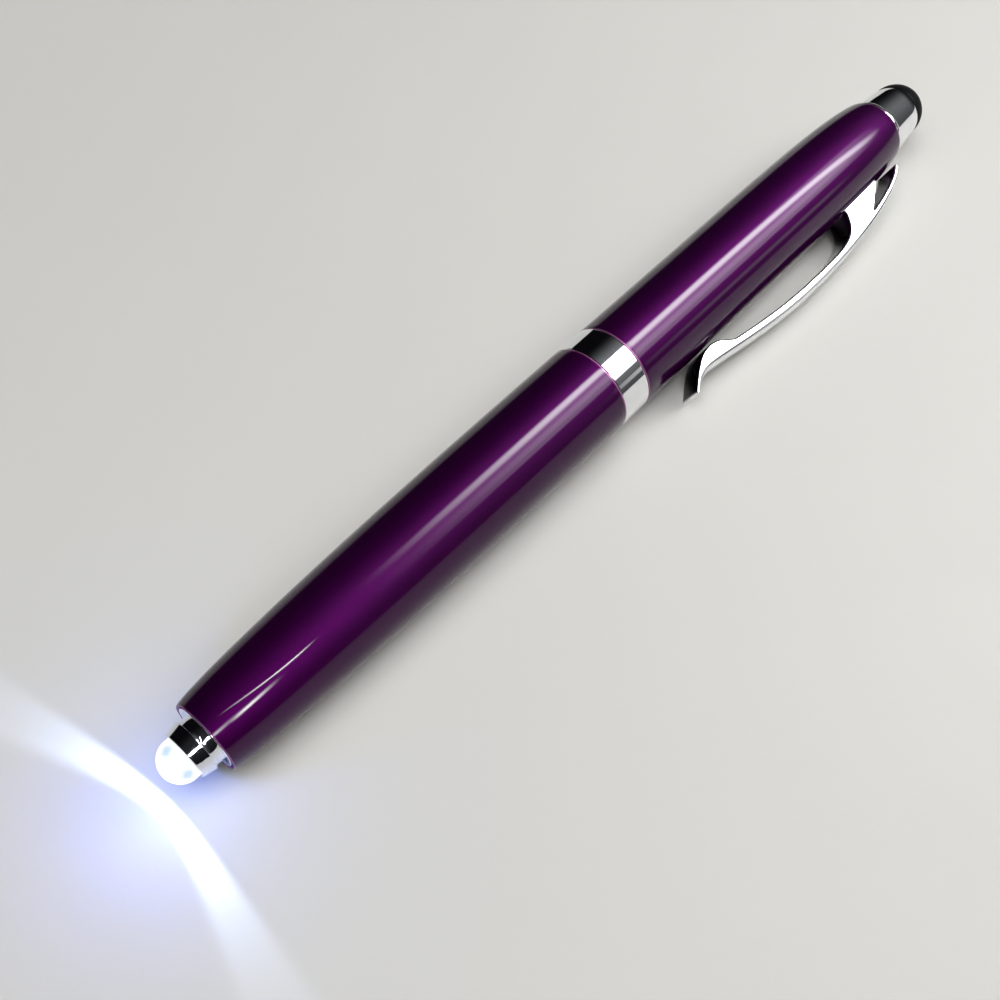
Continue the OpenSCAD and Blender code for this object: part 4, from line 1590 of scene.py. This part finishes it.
    def surround(self) -> None:
        """Stands a pale wall far round the table, which only the camera sees."""
        skin = Surface("pale_wall")
        skin.set(Base_Color=(0, 0, 0), Roughness=1.0, Emission_Strength=1.0)
        skin.set(Emission_Color=skin.blend(skin.noise(self.wall_cloud), *self.wall_tones))
        count, radius = self.wall_sides, self.wall_radius * MM
        angles = [TURN * k / count for k in range(count)]
        points = [(radius * math.cos(a), radius * math.sin(a), height)
                  for height in (0.0, self.wall_height * MM) for a in angles]
        faces = [(k + count, (k + 1) % count + count, (k + 1) % count, k) for k in range(count)]
        wall = staged("wall", points, faces, skin.material)
        wall.visible_diffuse = wall.visible_glossy = wall.visible_transmission = wall.visible_shadow = False

    def world(self) -> None:
        """Sets a dim room that is darker away from the clip, behind the lamp and past the stylus."""
        world = bpy.data.worlds.new("room")
        bpy.context.scene.world = world
        world.use_nodes = True
        sketch = Sketch(world.node_tree)
        way = sketch.axes(sketch.add("ShaderNodeTexCoord").outputs["Generated"])
        shares = []
        for shade in self.room:
            share = sketch.span(way[shade.axis], shade.low, shade.high, shade.start, shade.end)
            shares.append(share if shade.power == 1 else sketch.math("POWER", share, shade.power))
        sky = sketch.blend(sketch.fold("MULTIPLY", shares), self.room_dark, self.room_light)
        sketch.put(world.node_tree.nodes["Background"].inputs["Color"], sky)

    def cool_light(self, name: str, kind: str, power: float, colour: Colour, size: float) -> Object:
        """Adds one of the lamp's own lights, which no polished piece mirrors.

        Args:
            name: Name of the light.
            kind: Blender's name of the kind of light.
            power: Power of the light.
            colour: Colour of the light.
            size: Radius of the light, in millimetres.

        Returns:
            The light, not yet in its place.
        """
        lamp = bpy.data.lights.new(name, kind)
        lamp.energy = power
        lamp.color = colour
        lamp.shadow_soft_size = size * MM
        light = new_object(name, lamp)
        light.visible_glossy = False
        return light

    def beam(self) -> None:
        """Adds the lamp's own cone of cool light, brightest near its edge."""
        light = self.cool_light("lamp_beam", "SPOT", 1.0, self.beam_colour, self.beam_size)
        light.location = self.pen.at(self.pen.span("led_body")[0] + self.beam_inset)
        light.rotation_euler = (0, math.pi / 2, 0)
        lamp = light.data
        lamp.spot_size = math.radians(self.beam_wide)
        lamp.spot_blend = self.beam_soft
        lamp.use_nodes = True
        sketch = Sketch(lamp.node_tree)
        way = sketch.axes(sketch.add("ShaderNodeTexCoord").outputs["Normal"])
        angle = sketch.math("DEGREES", sketch.math("ARCCOSINE", sketch.math("ABSOLUTE", way[2])))
        off = sketch.math("SUBTRACT", angle, self.beam_half)
        rise, fall = sketch.span(off, *self.beam_rise, 0, 1), sketch.span(off, *self.beam_fall, 1, 0)
        ring = sketch.math("MULTIPLY", sketch.math("MULTIPLY", rise, fall), self.beam_ring)
        strength = sketch.math("ADD", ring, sketch.span(off, *self.beam_end, self.beam_core, 0))
        sketch.put(lamp.node_tree.nodes["Emission"].inputs["Strength"], strength)

    def halo(self) -> None:
        """Adds the cool glow that the lit dome throws on the table round it."""
        light = self.cool_light("lamp_halo", "POINT", self.halo_power, self.halo_colour, self.halo_size)
        ahead = self.pen.at(self.pen.span("led_body")[0] - self.halo_ahead)
        light.location = ahead + Vector((0, 0, self.halo_above * MM))

    def camera(self) -> None:
        """Sets the camera at the photograph's viewing angle."""
        lens = bpy.data.cameras.new("view")
        lens.sensor_width = self.sensor
        lens.lens = self.lens
        lens.clip_start, lens.clip_end = self.view_depth
        camera = new_object("view", lens)
        camera.location = self.pen.origin + self.eye * MM
        camera.rotation_euler = self.look.to_track_quat("-Z", "Y").to_euler()
        bpy.context.scene.camera = camera


def main() -> None:
    """Builds every sub-assembly and the setting, and logs each piece."""
    logging.basicConfig(level=logging.INFO, format="%(name)s %(message)s")
    pen = PenFrame.read()
    finishes = Finishes()
    shells = SwellShell()
    Barrel(pen, finishes).build(shells)
    LampHead(pen, finishes).build()
    Cap(pen, finishes).build(shells)
    Clip(pen, finishes).build()
    WritingEnd(pen, finishes).build()
    Power(pen, finishes).build()
    Studio(pen).build()


if __name__ == "__main__":
    main()
